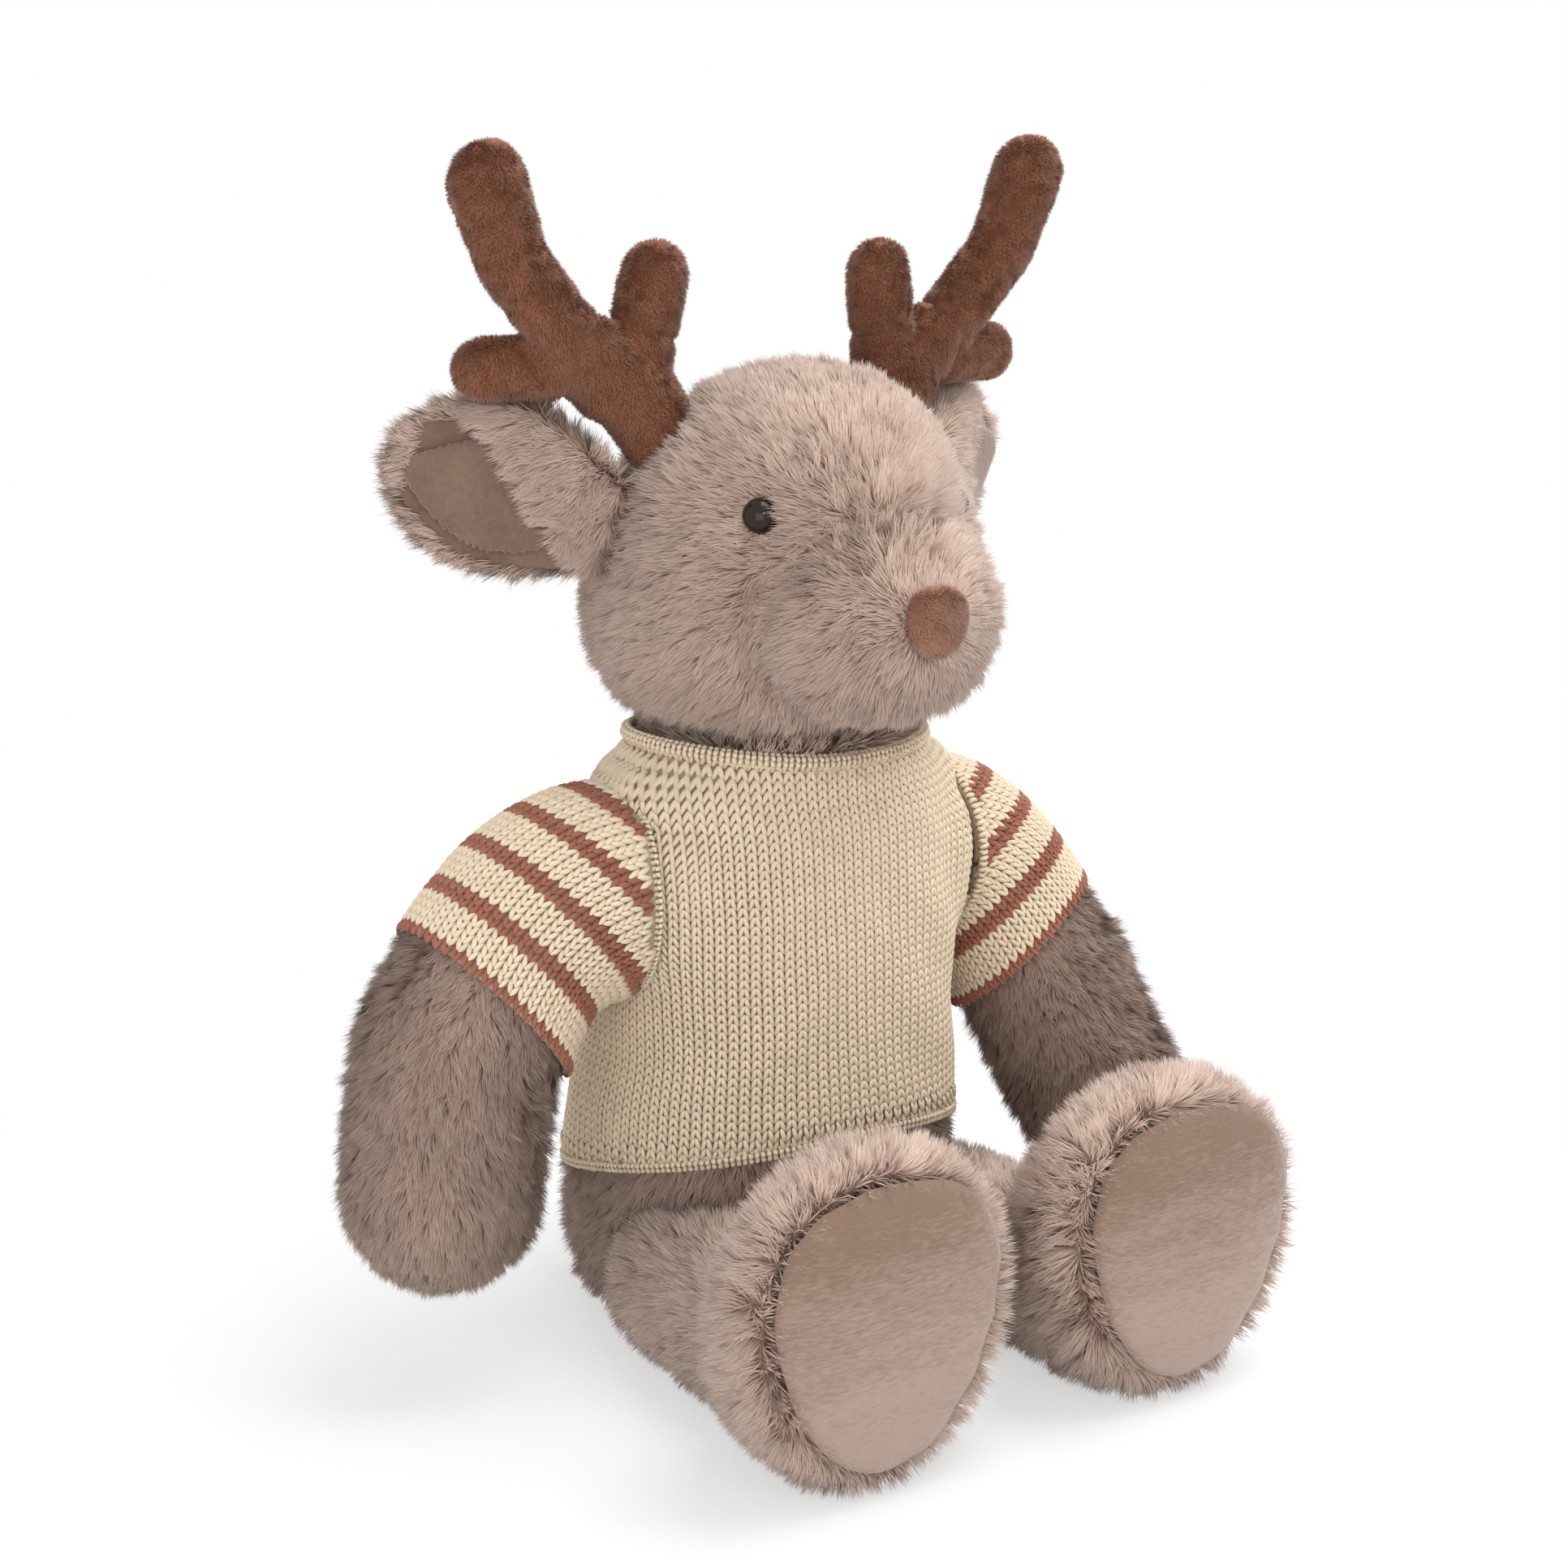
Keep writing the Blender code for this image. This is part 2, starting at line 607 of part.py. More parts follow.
def neck_rings(inset, sides):
    """A short column with a round top centred on the nodding axis."""
    centre = neck_place()
    radius = NECK_RADIUS - inset
    foot = TORSO_HEIGHT + SEAM_GAP + inset
    rows = [ring(Vector((centre.x, centre.y, foot)), X, Y, radius, radius, sides)]
    for k in range(7):
        turn = math.pi / 2 * k / 7
        rows.append(ring(
            centre + Z * (radius * math.sin(turn)), X, Y, radius * math.cos(turn), radius * math.cos(turn), sides,
        ))
    return rows


def make_neck():
    centre = neck_place()
    skin = lofted("neck_skin", neck_rings(0, 20), "fur")
    hollow = lofted("neck_hollow", neck_rings(SKIN, 14), None, True)
    below = Vector((centre.x, centre.y, centre.z - OVERRUN))
    cut(skin, hollow, rod("neck_mouth", below, centre + Z * OVERRUN, NECK_HOLE_RADIUS * NECK_PLUG_CAP_SHARE))
    lofted("neck_filling", neck_rings(SKIN + SEAM_GAP, 14), "stuffing")


# Head

def skull_base():
    return TORSO_HEIGHT + HEAD_RISE


def skull_ring(share, grow, sides):
    height, width, depth, lean = at(SKULL_SHARES, share)
    centre = Vector((0, -SKULL_FORWARD - FOREHEAD_LEAN * lean, skull_base() + SKULL_HEIGHT * height + grow * (2 * share - 1)))
    half_width = max(SKULL_HALF_WIDTH * width + grow, SKULL_HALF_WIDTH * width / 4)
    half_depth = max(SKULL_HALF_DEPTH * depth + grow, SKULL_HALF_DEPTH * depth / 4)
    return ring(centre, X, Y, half_width, half_depth, sides)


def skull_point(turn_degrees, share, grow=0.0):
    """A point of the skull's surface and its outward direction. Turn 0 faces -Y, and grows towards +X."""
    def place(turn, level):
        height, width, depth, lean = at(SKULL_SHARES, level)
        return Vector((
            SKULL_HALF_WIDTH * width * math.sin(turn),
            -SKULL_FORWARD - FOREHEAD_LEAN * lean - SKULL_HALF_DEPTH * depth * math.cos(turn),
            skull_base() + SKULL_HEIGHT * height,
        ))
    turn = math.radians(turn_degrees)
    step = 0.01
    across = place(turn + step, share) - place(turn - step, share)
    upward = place(turn, min(share + step, 1)) - place(turn, share - step)
    out = across.cross(upward).normalized()
    return place(turn, share) + out * grow, out


def muzzle_centre():
    front = at(SKULL_SHARES, MUZZLE_HEIGHT_SHARE)
    y = -SKULL_FORWARD - SKULL_HALF_DEPTH * front[2] - MUZZLE_OUT + MUZZLE_LENGTH / 2
    return Vector((0, y, skull_base() + SKULL_HEIGHT * MUZZLE_HEIGHT_SHARE))


def muzzle_rings(inset, sides):
    """A superellipsoid along -Y, blunt at the nose."""
    centre = muzzle_centre()
    rows = []
    for share in MUZZLE_RING_SHARES:
        across = (1 - abs(2 * share - 1) ** MUZZLE_FULLNESS) ** (1 / MUZZLE_FULLNESS)
        half_length = MUZZLE_LENGTH / 2 - inset
        place = centre - Y * (half_length * (2 * share - 1))
        half_width = max(MUZZLE_HALF_WIDTH * across - inset, MUZZLE_HALF_WIDTH * across / 4)
        half_height = max(MUZZLE_HALF_HEIGHT * across - inset, MUZZLE_HALF_HEIGHT * across / 4)
        rows.append(ring(place, X, Z, half_width, half_height, sides, 2.1))
    return rows


def skull_rings(grow, sides=SKULL_SIDES, shares=SKULL_RING_SHARES):
    return [skull_ring(s, grow, sides) for s in shares]


def eye_place(side):
    return skull_point(SIDE_SIGN[side] * EYE_TURN_DEGREES, EYE_HEIGHT_SHARE)


def eye_rows(place, out, grow):
    """Dome, flange and shank of one eye, from its crown to the shank's end."""
    across, up = frame_of(out)
    rows = []
    steps = 5
    for k in range(steps):
        turn = math.pi / 2 * (k + 0.35) / (steps - 0.65)
        radius = EYE_RADIUS * math.sin(turn) + grow
        rows.append((EYE_FOOT_GAP + EYE_DOME * math.cos(turn) + grow, radius))
    rows.append((EYE_FOOT_GAP - grow, EYE_RADIUS + grow))
    rows.append((EYE_FOOT_GAP - grow - SEAM_GAP / 4, SHANK_RADIUS + grow))
    rows.append((EYE_FOOT_GAP - SHANK_LENGTH - grow, SHANK_RADIUS + grow))
    return [ring(place + out * reach, across, up, radius, radius, EYE_SIDES) for reach, radius in rows]


def washer_rows(place, out, grow):
    across, up = frame_of(out)
    depth = SKIN + WASHER_SET_BACK
    reaches = (-depth + grow, -depth - WASHER_THICKNESS - grow)
    return [ring(place + out * r, across, up, WASHER_RADIUS + grow, WASHER_RADIUS + grow, EYE_SIDES) for r in reaches]


def make_head():
    skin = lofted("head_skin", skull_rings(0), "fur")
    hollow_rings = skull_rings(-SKIN, SKULL_INNER_SIDES, SKULL_INNER_RING_SHARES)
    hollow = lofted("head_hollow", hollow_rings, None, True)
    face_hole = lofted("face_hole", muzzle_rings(SKIN, MUZZLE_INNER_SIDES), None, True)
    neck_cup = ball("neck_cup", neck_place(), NECK_RADIUS + TURN_GAP, sides=20, rings=10)
    cut(skin, hollow, face_hole, neck_cup)

    muzzle = lofted("muzzle_skin", muzzle_rings(0, MUZZLE_SIDES), "fur")
    cut(muzzle, lofted("muzzle_hollow", muzzle_rings(SKIN, MUZZLE_INNER_SIDES), None, True))
    cut(muzzle, lofted("muzzle_seat", skull_rings(SEAM_GAP), None, True))

    inset = SKIN + SEAM_GAP
    filling = lofted("head_filling", skull_rings(-inset, SKULL_INNER_SIDES, SKULL_INNER_RING_SHARES), "stuffing")
    join(filling, lofted("muzzle_filling", muzzle_rings(inset, MUZZLE_INNER_SIDES), None, True))
    cut(filling, ball("filling_neck_cup", neck_place(), NECK_RADIUS + TURN_GAP + SKIN, sides=14, rings=7))

    for side in SIDE_SIGN:
        place, out = eye_place(side)
        start, end = place + out * OVERRUN, place - out * (SHANK_LENGTH + SEAM_GAP)
        cut(skin, rod(named(side, "shank_hole"), start, end, SHANK_RADIUS + SEAM_GAP))
        cut(filling, rod(named(side, "shank_pocket"), start, end, SHANK_RADIUS + SEAM_GAP))
        pocket = washer_rows(place, out, SEAM_GAP)
        across, up = frame_of(out)
        pocket[0] = ring(place + out * EYE_DOME, across, up, WASHER_RADIUS + SEAM_GAP, WASHER_RADIUS + SEAM_GAP, EYE_SIDES)
        cut(filling, lofted(named(side, "washer_pocket"), pocket, None, True))
        lofted(named(side, "eye"), eye_rows(place, out, 0), "eye")
        washer = lofted(named(side, "eye_washer"), washer_rows(place, out, 0), "washer")
        cut(washer, rod(named(side, "washer_bore"), start, end, SHANK_RADIUS + SEAM_GAP))


def nose_seat():
    centre = muzzle_centre()
    return centre - Y * (MUZZLE_LENGTH / 2) + Z * (MUZZLE_HALF_HEIGHT * NOSE_HEIGHT_SHARE)


def make_nose():
    """A small stuffed pad, rounded like a D on its side, sewn on the blunt end of the muzzle."""
    seat = nose_seat()
    rows = []
    for share, width in ((0, 0.72), (0.2, 0.93), (0.45, 1.0), (0.7, 0.90), (0.88, 0.64), (1, 0.30)):
        place = seat - Y * (NOSE_THICKNESS * (share - NOSE_SEAT_SHARE))
        rows.append(ring(place, X, Z, NOSE_HALF_WIDTH * width, NOSE_HALF_HEIGHT * width, 18, 2.2, egg=0.12))
    nose = lofted("nose_pad", rows, "nose_velour")
    cut(nose, lofted("nose_cut", muzzle_rings(-SEAM_GAP, MUZZLE_SIDES), None, True))


# Antlers

def tine(name, points, radii, side_flat):
    """A tapering tube through points, with a round far end."""
    rows = []
    count = len(points)
    for k, (point, radius) in enumerate(zip(points, radii)):
        ahead = points[min(k + 1, count - 1)] - points[max(k - 1, 0)]
        axis = ahead.normalized()
        rows.append(ring(point, side_flat.cross(axis).normalized(), side_flat, radius, radius * ANTLER_FLATNESS_SHARE, ANTLER_SIDES))
    axis = (points[-1] - points[-2]).normalized()
    for k in range(1, 5):
        turn = math.pi / 2 * k / 4.6
        radius = radii[-1] * math.cos(turn)
        centre = points[-1] + axis * (radii[-1] * math.sin(turn))
        rows.append(ring(centre, side_flat.cross(axis).normalized(), side_flat, radius, radius * ANTLER_FLATNESS_SHARE, ANTLER_SIDES))
    return rows


def antler_points(side):
    sign = SIDE_SIGN[side]
    foot, out = skull_point(sign * ANTLER_FOOT_TURN_DEGREES, ANTLER_HEIGHT_SHARE)
    start = foot - out * ANTLER_SINK
    palm = foot + Vector((sign * TRUNK_OUT, TRUNK_BACK, TRUNK_RISE))
    return start, foot, palm


def make_antler(side):
    sign = SIDE_SIGN[side]
    start, foot, palm = antler_points(side)
    flat = Vector((0, 1, 0))
    trunk_mid = foot + (palm - foot) * 0.5
    trunk = tine("", [start, trunk_mid, palm - Z * (TRUNK_RADIUS / 2)], [TRUNK_RADIUS * s for s in (0.92, 1.0, 1.12)], flat)
    antler = lofted(named(side, "antler"), trunk, "felt")
    tip = palm + Vector((sign * MAIN_TINE_OUT, -MAIN_TINE_FORWARD, MAIN_TINE_RISE[side]))
    bow = Vector((sign * MAIN_TINE_BOW, 0, -MAIN_TINE_BOW))
    root = palm - Vector((0, 0, TRUNK_RADIUS / 2))
    main = [root, root + (tip - root) * 0.35 + bow * 0.8, root + (tip - root) * 0.7 + bow, tip]
    inner_root = palm + Vector((-sign * INNER_TINE_IN / 2, 0, -TRUNK_RADIUS / 2))
    inner_tip = palm + Vector((-sign * INNER_TINE_IN, -MAIN_TINE_FORWARD / 2, INNER_TINE_RISE))
    outer_root = palm + Vector((sign * PALM_ROOT_OUT, 0, -OUTER_TINE_DROP))
    outer_tip = palm + Vector((sign * OUTER_TINE_OUT, MAIN_TINE_FORWARD, -OUTER_TINE_DROP))
    tines = {
        "main": (main, [MAIN_TINE_RADIUS * s for s in (1.1, 0.92, 0.95, 1.04)]),
        "inner": ([inner_root, inner_tip], [INNER_TINE_RADIUS * s for s in (1.08, 1.0)]),
        "outer": ([outer_root, outer_tip], [OUTER_TINE_RADIUS * s for s in (1.05, 1.0)]),
    }
    for piece, (points, radii) in tines.items():
        join(antler, lofted(f"{piece}_tine_{side}", tine("", points, radii, flat), None, True))
    cut(antler, lofted(named(side, "antler_seat"), skull_rings(SEAM_GAP), None, True))


# Ears

def ear_frame(side):
    """The middle of the root's hinge line, and the directions of the tip, the hinge line and the front face."""
    sign = SIDE_SIGN[side]
    surface, out = skull_point(sign * EAR_ROOT_TURN_DEGREES, EAR_ROOT_HEIGHT_SHARE)
    sweep, rise = math.radians(EAR_SWEEP_DEGREES[side]), math.radians(EAR_RISE_DEGREES[side])
    along = Vector((sign * math.cos(sweep) * math.cos(rise), math.sin(sweep) * math.cos(rise), math.sin(rise)))
    front = along.cross(Z).normalized() * sign
    up = along.cross(front).normalized() * -sign
    if up.z < 0:
        up = -up
    if front.y > 0:
        front = -front
    return surface + out * (EAR_ROOT_RADIUS + SEAM_GAP), along, up, front


def ear_ring(side, share):
    root, along, up, front = ear_frame(side)
    length, height, thickness = at(EAR_SHARES, share)
    centre = root + along * (EAR_LENGTH * length) - front * (EAR_CUP * math.sin(math.pi * share))
    return ring(centre, front, up, EAR_THICKNESS / 2 * thickness, EAR_HALF_HEIGHT * height, EAR_SIDES, 2.3)


def make_ear(side):
    root, along, up, front = ear_frame(side)
    rows = []
    for degrees in (12, 40, 68):
        turn = math.radians(degrees)
        rows.append(ring(
            root - along * (EAR_ROOT_RADIUS * math.cos(turn)), front, up, EAR_ROOT_RADIUS * math.sin(turn),
            EAR_HALF_HEIGHT * EAR_SHARES[0][1] - EAR_ROOT_RADIUS * (1 - math.sin(turn)), EAR_SIDES, 2.3,
        ))
    lofted(named(side, "ear_fur"), rows + [ear_ring(side, s) for s in EAR_RING_SHARES], "fur")
    first, last = LINING_LENGTH_SHARES
    rows = []
    steps = 7
    for k in range(steps + 1):
        share = first + (last - first) * k / steps
        length, height, thickness = at(EAR_SHARES, share)
        surface = EAR_THICKNESS / 2 * thickness + SEAM_GAP + LINING_THICKNESS / 2
        centre = (root + along * (EAR_LENGTH * length) - front * (EAR_CUP * math.sin(math.pi * share) - surface)
                  - up * (EAR_HALF_HEIGHT * (1 - LINING_HEIGHT_SHARE) / 3))
        taper = math.sin(math.pi * min(max((k + 0.6) / (steps + 1.2), 0), 1)) ** 0.5
        rows.append(ring(
            centre, front, up, LINING_THICKNESS / 2, EAR_HALF_HEIGHT * height * LINING_HEIGHT_SHARE * taper, 12, 2.4,
        ))
    lofted(named(side, "ear_lining"), rows, "ear_velour")


# Arms and sleeves

def arm_path(side):
    """The four control points of the arm's middle line, from the shoulder face to the middle of the paw."""
    sign, start, axis = SIDE_SIGN[side], shoulder_centre(side), shoulder_axis(side)
    end = start + Vector((sign * ARM_OUT[side], -ARM_FORWARD[side], -ARM_DROP[side]))
    out, ahead = ARM_END_OUT_SHARE[side], ARM_END_FORWARD_SHARE[side]
    last = Vector((sign * out, -ahead, -math.sqrt(1 - out**2 - ahead**2)))
    return start, start + axis * ARM_ROOT_PULL[side], end - last * ARM_END_PULL, end


def on_path(path, share):
    a, b, c, d = path
    t, u = share, 1 - share
    place = a * u**3 + b * (3 * u * u * t) + c * (3 * u * t * t) + d * t**3
    ahead = (b - a) * (u * u) + (c - b) * (2 * u * t) + (d - c) * (t * t)
    return place, ahead.normalized()


def arm_ring(side, share, grow, sides):
    place, ahead = on_path(arm_path(side), share)
    # The reference is the front, so that rings do not twist along the bend
    across, up = frame_of(ahead, hint=Y)
    swell = at(ARM_SHARES, share)[1]
    radius = ARM_ROOT_RADIUS + (ARM_RADIUS[side] - ARM_ROOT_RADIUS) * swell + grow
    return ring(place, across, up, radius, radius, sides)


def held_out(side, rows):
    """The same rings with every point moved on past the point of the ring before it, clear of the shoulder."""
    axis = shoulder_axis(side)
    face = shoulder_centre(side).dot(axis)
    floor = [face] * len(rows[0])
    for k, row in enumerate(rows):
        for i, point in enumerate(row):
            short = floor[i] + (ARM_ROOT_STEP if k else 0) - point.dot(axis)
            if short > 0:
                row[i] = point + axis * short
        floor = [point.dot(axis) for point in row]
    return rows


def arm_rings(side, inset, sides, root_reach):
    """Rings of an arm. The root is drawn past the shoulder face by root_reach, and the paw ends round."""
    path = arm_path(side)
    axis = shoulder_axis(side)
    root = arm_ring(side, 0, -inset, sides)
    rows = [[point + axis * SEAM_GAP for point in root]]
    rows += [arm_ring(side, share, -inset, sides) for share in ARM_RING_SHARES[1:]]
    rows = held_out(side, rows)
    if root_reach:
        rows[0] = [point - axis * root_reach for point in root]
    end, ahead = on_path(path, 1)
    across, up = frame_of(ahead, hint=Y)
    radius = ARM_RADIUS[side] - inset
    for k in range(1, 6):
        turn = math.pi / 2 * k / 5.5
        rows.append(ring(end + ahead * (radius * math.sin(turn)), across, up,
                         radius * math.cos(turn), radius * math.cos(turn), sides))
    return rows


def make_arm(side):
    skin = lofted(named(side, "arm_skin"), arm_rings(side, 0, ARM_SIDES, 0), "fur")
    hollow = arm_rings(side, SKIN, ARM_INNER_SIDES, SKIN)
    cut(skin, lofted(named(side, "arm_hollow"), hollow, None, True))
    filling = arm_rings(side, SKIN + 2 * SEAM_GAP, ARM_INNER_SIDES, 0)
    lofted(named(side, "arm_filling"), filling, "stuffing")

    outer, inner = [], []
    for k, share in enumerate(ARM_RING_SHARES[:SLEEVE_RINGS + 1]):
        flare = SLEEVE_FLARE * k / SLEEVE_RINGS
        root = SLEEVE_ROOT_ROUND * max(1 - 3 * k / SLEEVE_RINGS, 0)
        outer.append(arm_ring(side, share, KNIT_GAP + KNIT + flare + root, SLEEVE_SIDES))
        inner.append(arm_ring(side, share, KNIT_GAP + flare + root, SLEEVE_SIDES))
    axis = shoulder_axis(side)
    outer[0] = [point + axis * SEAM_GAP for point in outer[0]]
    inner[0] = [point + axis * SEAM_GAP for point in inner[0]]
    outer, inner = held_out(side, outer), held_out(side, inner)
    lofted(named(side, "sleeve"), outer + inner[::-1], "knit", closed_loop=True)


# Legs and feet

def foot_middle(risen):
    return LEG_RADIUS + (FOOT_HEIGHT / 2 - LEG_RADIUS) * risen - FLOOR_CUT


def leg_rings(side, inset, sides, shares, hip_rings):
    """A ball at the hip, a straight shin along the floor and a foot that stands up as an egg."""
    hip = hip_centre(side)
    radius = LEG_RADIUS - inset
    rows = []
    for k in range(hip_rings):
        turn = math.pi / 2 * (k + 0.4) / hip_rings
        rows.append(ring(hip + Y * (radius * math.cos(turn)), X, Z,
                         radius * math.sin(turn), radius * math.sin(turn), sides))
    rows.append(ring(hip, X, Z, radius, radius, sides))
    sole = hip.y - LEG_REACH
    heel = sole + FOOT_DEPTH
    splay = Vector((SIDE_SIGN[side] * FOOT_SPLAY[side], 0, 0))
    for share in shares:
        grown, risen = at(FOOT_SHARES, share)[1:]
        y = heel - FOOT_DEPTH * share + inset * (2 * share - 1)
        half_width = LEG_RADIUS + (FOOT_HALF_WIDTH - LEG_RADIUS) * grown
        half_height = LEG_RADIUS + (FOOT_HEIGHT / 2 - LEG_RADIUS) * grown
        along = (hip.y - y) / LEG_REACH
        centre = Vector((hip.x, y, foot_middle(risen))) + splay * along
        rows.append(ring(centre, X, Z, half_width - inset, half_height - inset, sides, egg=FOOT_EGG_SHARE * grown))
    return rows


def pad_rings(side, grow, thickness):
    hip = hip_centre(side)
    sole = hip.y - LEG_REACH
    splay = SIDE_SIGN[side] * FOOT_SPLAY[side]
    height = foot_middle(at(FOOT_SHARES, 1.0)[2])
    rows = []
    back = sole + PAD_RECESS + PAD_THICKNESS
    for share, width in ((0, 1.0), (0.45, 1.0), (0.8, 0.96), (1, 0.84)):
        y = back + grow - (thickness + grow + PAD_CROWN * (1 if share == 1 else 0)) * share
        rows.append(ring(
            Vector((hip.x + splay, y, height)), X, Z,
            PAD_HALF_WIDTH * width + grow, PAD_HALF_HEIGHT * width + grow, PAD_SIDES, egg=FOOT_EGG_SHARE,
        ))
    return rows


def make_leg(side, floor):
    skin = lofted(named(side, "leg_skin"), leg_rings(side, 0, LEG_SIDES, FOOT_RING_SHARES, HIP_RINGS), "fur")
    hollow = lofted(named(side, "leg_hollow"), leg_rings(side, SKIN, LEG_INNER_SIDES, FOOT_INNER_RING_SHARES, 3), None, True)
    hip = hip_centre(side)
    mouth = rod(named(side, "leg_mouth"), hip, hip + Y * OVERRUN, LEG_RADIUS / 3)
    filling = lofted(
        named(side, "leg_filling"), leg_rings(side, SKIN + SEAM_GAP, LEG_INNER_SIDES, FOOT_INNER_RING_SHARES, 3), "stuffing",
    )
    cut(skin, hollow, mouth, floor)
    recess = pad_rings(side, SEAM_GAP, OVERRUN)
    cut(skin, lofted(named(side, "pad_recess"), recess, None, True))
    cut(filling, lofted(named(side, "pad_clearance"), pad_rings(side, SEAM_GAP + SKIN, OVERRUN), None, True))
    lofted(named(side, "sole_pad"), pad_rings(side, 0, PAD_THICKNESS + PAD_RECESS), "velour")


def main():
    for obj in list(bpy.data.objects):
        bpy.data.objects.remove(obj, do_unlink=True)
    reach = 10 * OVERRUN
    floor = box("floor_cut", Vector((-reach, -reach, -reach)), Vector((reach, reach, 0)))
    make_torso()
    make_sweater_panel("sweater_front", math.pi, 2 * math.pi)
    make_sweater_panel("sweater_back", 0, math.pi)
    make_collar()
    make_tail()
    make_neck()
    make_head()
    make_nose()
    for side in SIDE_SIGN:
        make_antler(side)
        make_ear(side)
        make_arm(side)
        make_leg(side, floor)
        print(side, "shoulder", tuple(round(v, 5) for v in shoulder_centre(side)),
              "axis", tuple(round(v, 5) for v in shoulder_axis(side)),
              "hip", tuple(round(v, 5) for v in hip_centre(side)),
              "ear", tuple(round(v, 5) for v in ear_frame(side)[0]),
              "line", tuple(round(v, 5) for v in ear_frame(side)[2]))
    print("neck", tuple(round(v, 5) for v in neck_place()))


main()
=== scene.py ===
import json
import math

import bmesh
import bpy
import numpy as np
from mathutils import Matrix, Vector
from mathutils.bvhtree import BVHTree


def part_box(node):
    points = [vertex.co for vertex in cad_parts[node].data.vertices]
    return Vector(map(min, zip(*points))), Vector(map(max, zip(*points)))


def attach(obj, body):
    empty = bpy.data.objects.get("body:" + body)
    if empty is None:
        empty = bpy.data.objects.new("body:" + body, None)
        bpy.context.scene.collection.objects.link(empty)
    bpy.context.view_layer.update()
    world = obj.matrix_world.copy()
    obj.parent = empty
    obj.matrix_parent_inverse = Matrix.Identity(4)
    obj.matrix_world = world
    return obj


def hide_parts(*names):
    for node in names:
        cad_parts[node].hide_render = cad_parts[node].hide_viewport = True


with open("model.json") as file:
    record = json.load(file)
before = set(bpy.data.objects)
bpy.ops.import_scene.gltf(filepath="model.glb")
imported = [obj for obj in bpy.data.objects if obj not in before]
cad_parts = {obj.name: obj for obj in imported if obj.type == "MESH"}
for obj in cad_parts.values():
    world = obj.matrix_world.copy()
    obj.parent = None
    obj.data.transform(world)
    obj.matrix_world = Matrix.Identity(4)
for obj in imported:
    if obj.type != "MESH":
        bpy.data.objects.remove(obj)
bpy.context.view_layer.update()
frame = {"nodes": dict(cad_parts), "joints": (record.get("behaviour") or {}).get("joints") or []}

nodes = frame["nodes"]
sides = {"right": -1, "left": 1}


# Camera, floor and light

studio = {
    "distance": 0.657, "height": 0.276, "pitch": 12.0, "azimuth": 34.74,
    "sensor": 36, "lens": 62.33, "shift": 0.0023, "clipStart": 0.01,
    "floorRadius": 3, "floorColour": (0.93, 0.93, 0.93), "floorFade": (0.10, 0.28), "floorWhite": 0.58,
    "worldStrength": 0.71,
    # Each lamp's place, aim, power and size
    "lamps": {
        "keyLight": ((0.23, -0.17, 0.97), (0, 0, 0.12), 6.3, 0.6),
        "rimLight": ((0.85, 0.35, 0.55), (0, 0, 0.15), 2.2, 0.6),
        "fillLight": ((-0.8, -0.8, 0.30), (0, -0.03, 0.06), 3.2, 0.8),
        "eyeLight": ((-0.22, -0.60, 0.52), (0, 0, 0.18), 0.35, 0.07),
    },
}


def lamp(name, place, aim, power, size):
    data = bpy.data.lights.new(name, "AREA")
    data.energy = power
    data.size = size
    obj = bpy.data.objects.new(name, data)
    obj.location = place
    obj.rotation_euler = (Vector(aim) - Vector(place)).to_track_quat("-Z", "Y").to_euler()
    bpy.context.scene.collection.objects.link(obj)


# A shader value that can be used in sums
class Shade:
    def __init__(self, tree, socket):
        self.tree, self.socket = tree, socket

    def maths(self, operation, *values):
        made = self.tree.nodes.new("ShaderNodeMath")
        made.operation = operation
        for k, value in enumerate((self, *values)):
            plug(self.tree, value, made.inputs[k])
        return Shade(self.tree, made.outputs[0])

    def __add__(self, other):
        return self.maths("ADD", other)

    def __mul__(self, other):
        return self.maths("MULTIPLY", other)

    def __sub__(self, other):
        return self.maths("SUBTRACT", other)

    def __rsub__(self, other):
        return (self * -1).maths("ADD", other)

    __radd__ = __add__
    __rmul__ = __mul__


def plug(tree, value, socket):
    if isinstance(value, Shade):
        tree.links.new(value.socket, socket)
    else:
        socket.default_value = value


def shaderNode(tree, kind, settings=None, **values):
    made = tree.nodes.new(kind)
    settings = dict(settings or {})
    stops = settings.pop("stops", ())
    for key, value in settings.items():
        setattr(made, key, value)
    if stops:
        ramp = made.color_ramp
        while len(ramp.elements) < len(stops):
            ramp.elements.new(0.5)
        for element, (place, colour) in zip(ramp.elements, stops):
            element.position = place
            element.color = (*colour, 1)
    for key, value in values.items():
        plug(tree, value, made.inputs[key.replace("_", " ")])
    return made


def out(made, which=0):
    return Shade(made.id_data, made.outputs[which])


def newMaterial(name, roughness=0.9, sheen=0.0, specular=0.3):
    made = bpy.data.materials.new(name)
    made.use_nodes = True
    shader = made.node_tree.nodes["Principled BSDF"]
    shader.inputs["Roughness"].default_value = roughness
    shader.inputs["Sheen Weight"].default_value = sheen
    shader.inputs["Specular IOR Level"].default_value = specular
    return made, made.node_tree, shader


def mixColours(tree, factor, low, high):
    made = tree.nodes.new("ShaderNodeMix")
    made.data_type = "RGBA"
    for value, socket in ((factor, made.inputs[0]), (low, made.inputs[6]), (high, made.inputs[7])):
        plug(tree, (*value, 1) if isinstance(value, tuple) else value, socket)
    return Shade(tree, made.outputs[2])


# Where the camera, a reflection or clear matter looks straight at the surface
def seenStraight(tree):
    path = shaderNode(tree, "ShaderNodeLightPath")
    return (out(path, 0) + out(path, 3) + out(path, 6)).maths("MINIMUM", 1.0)


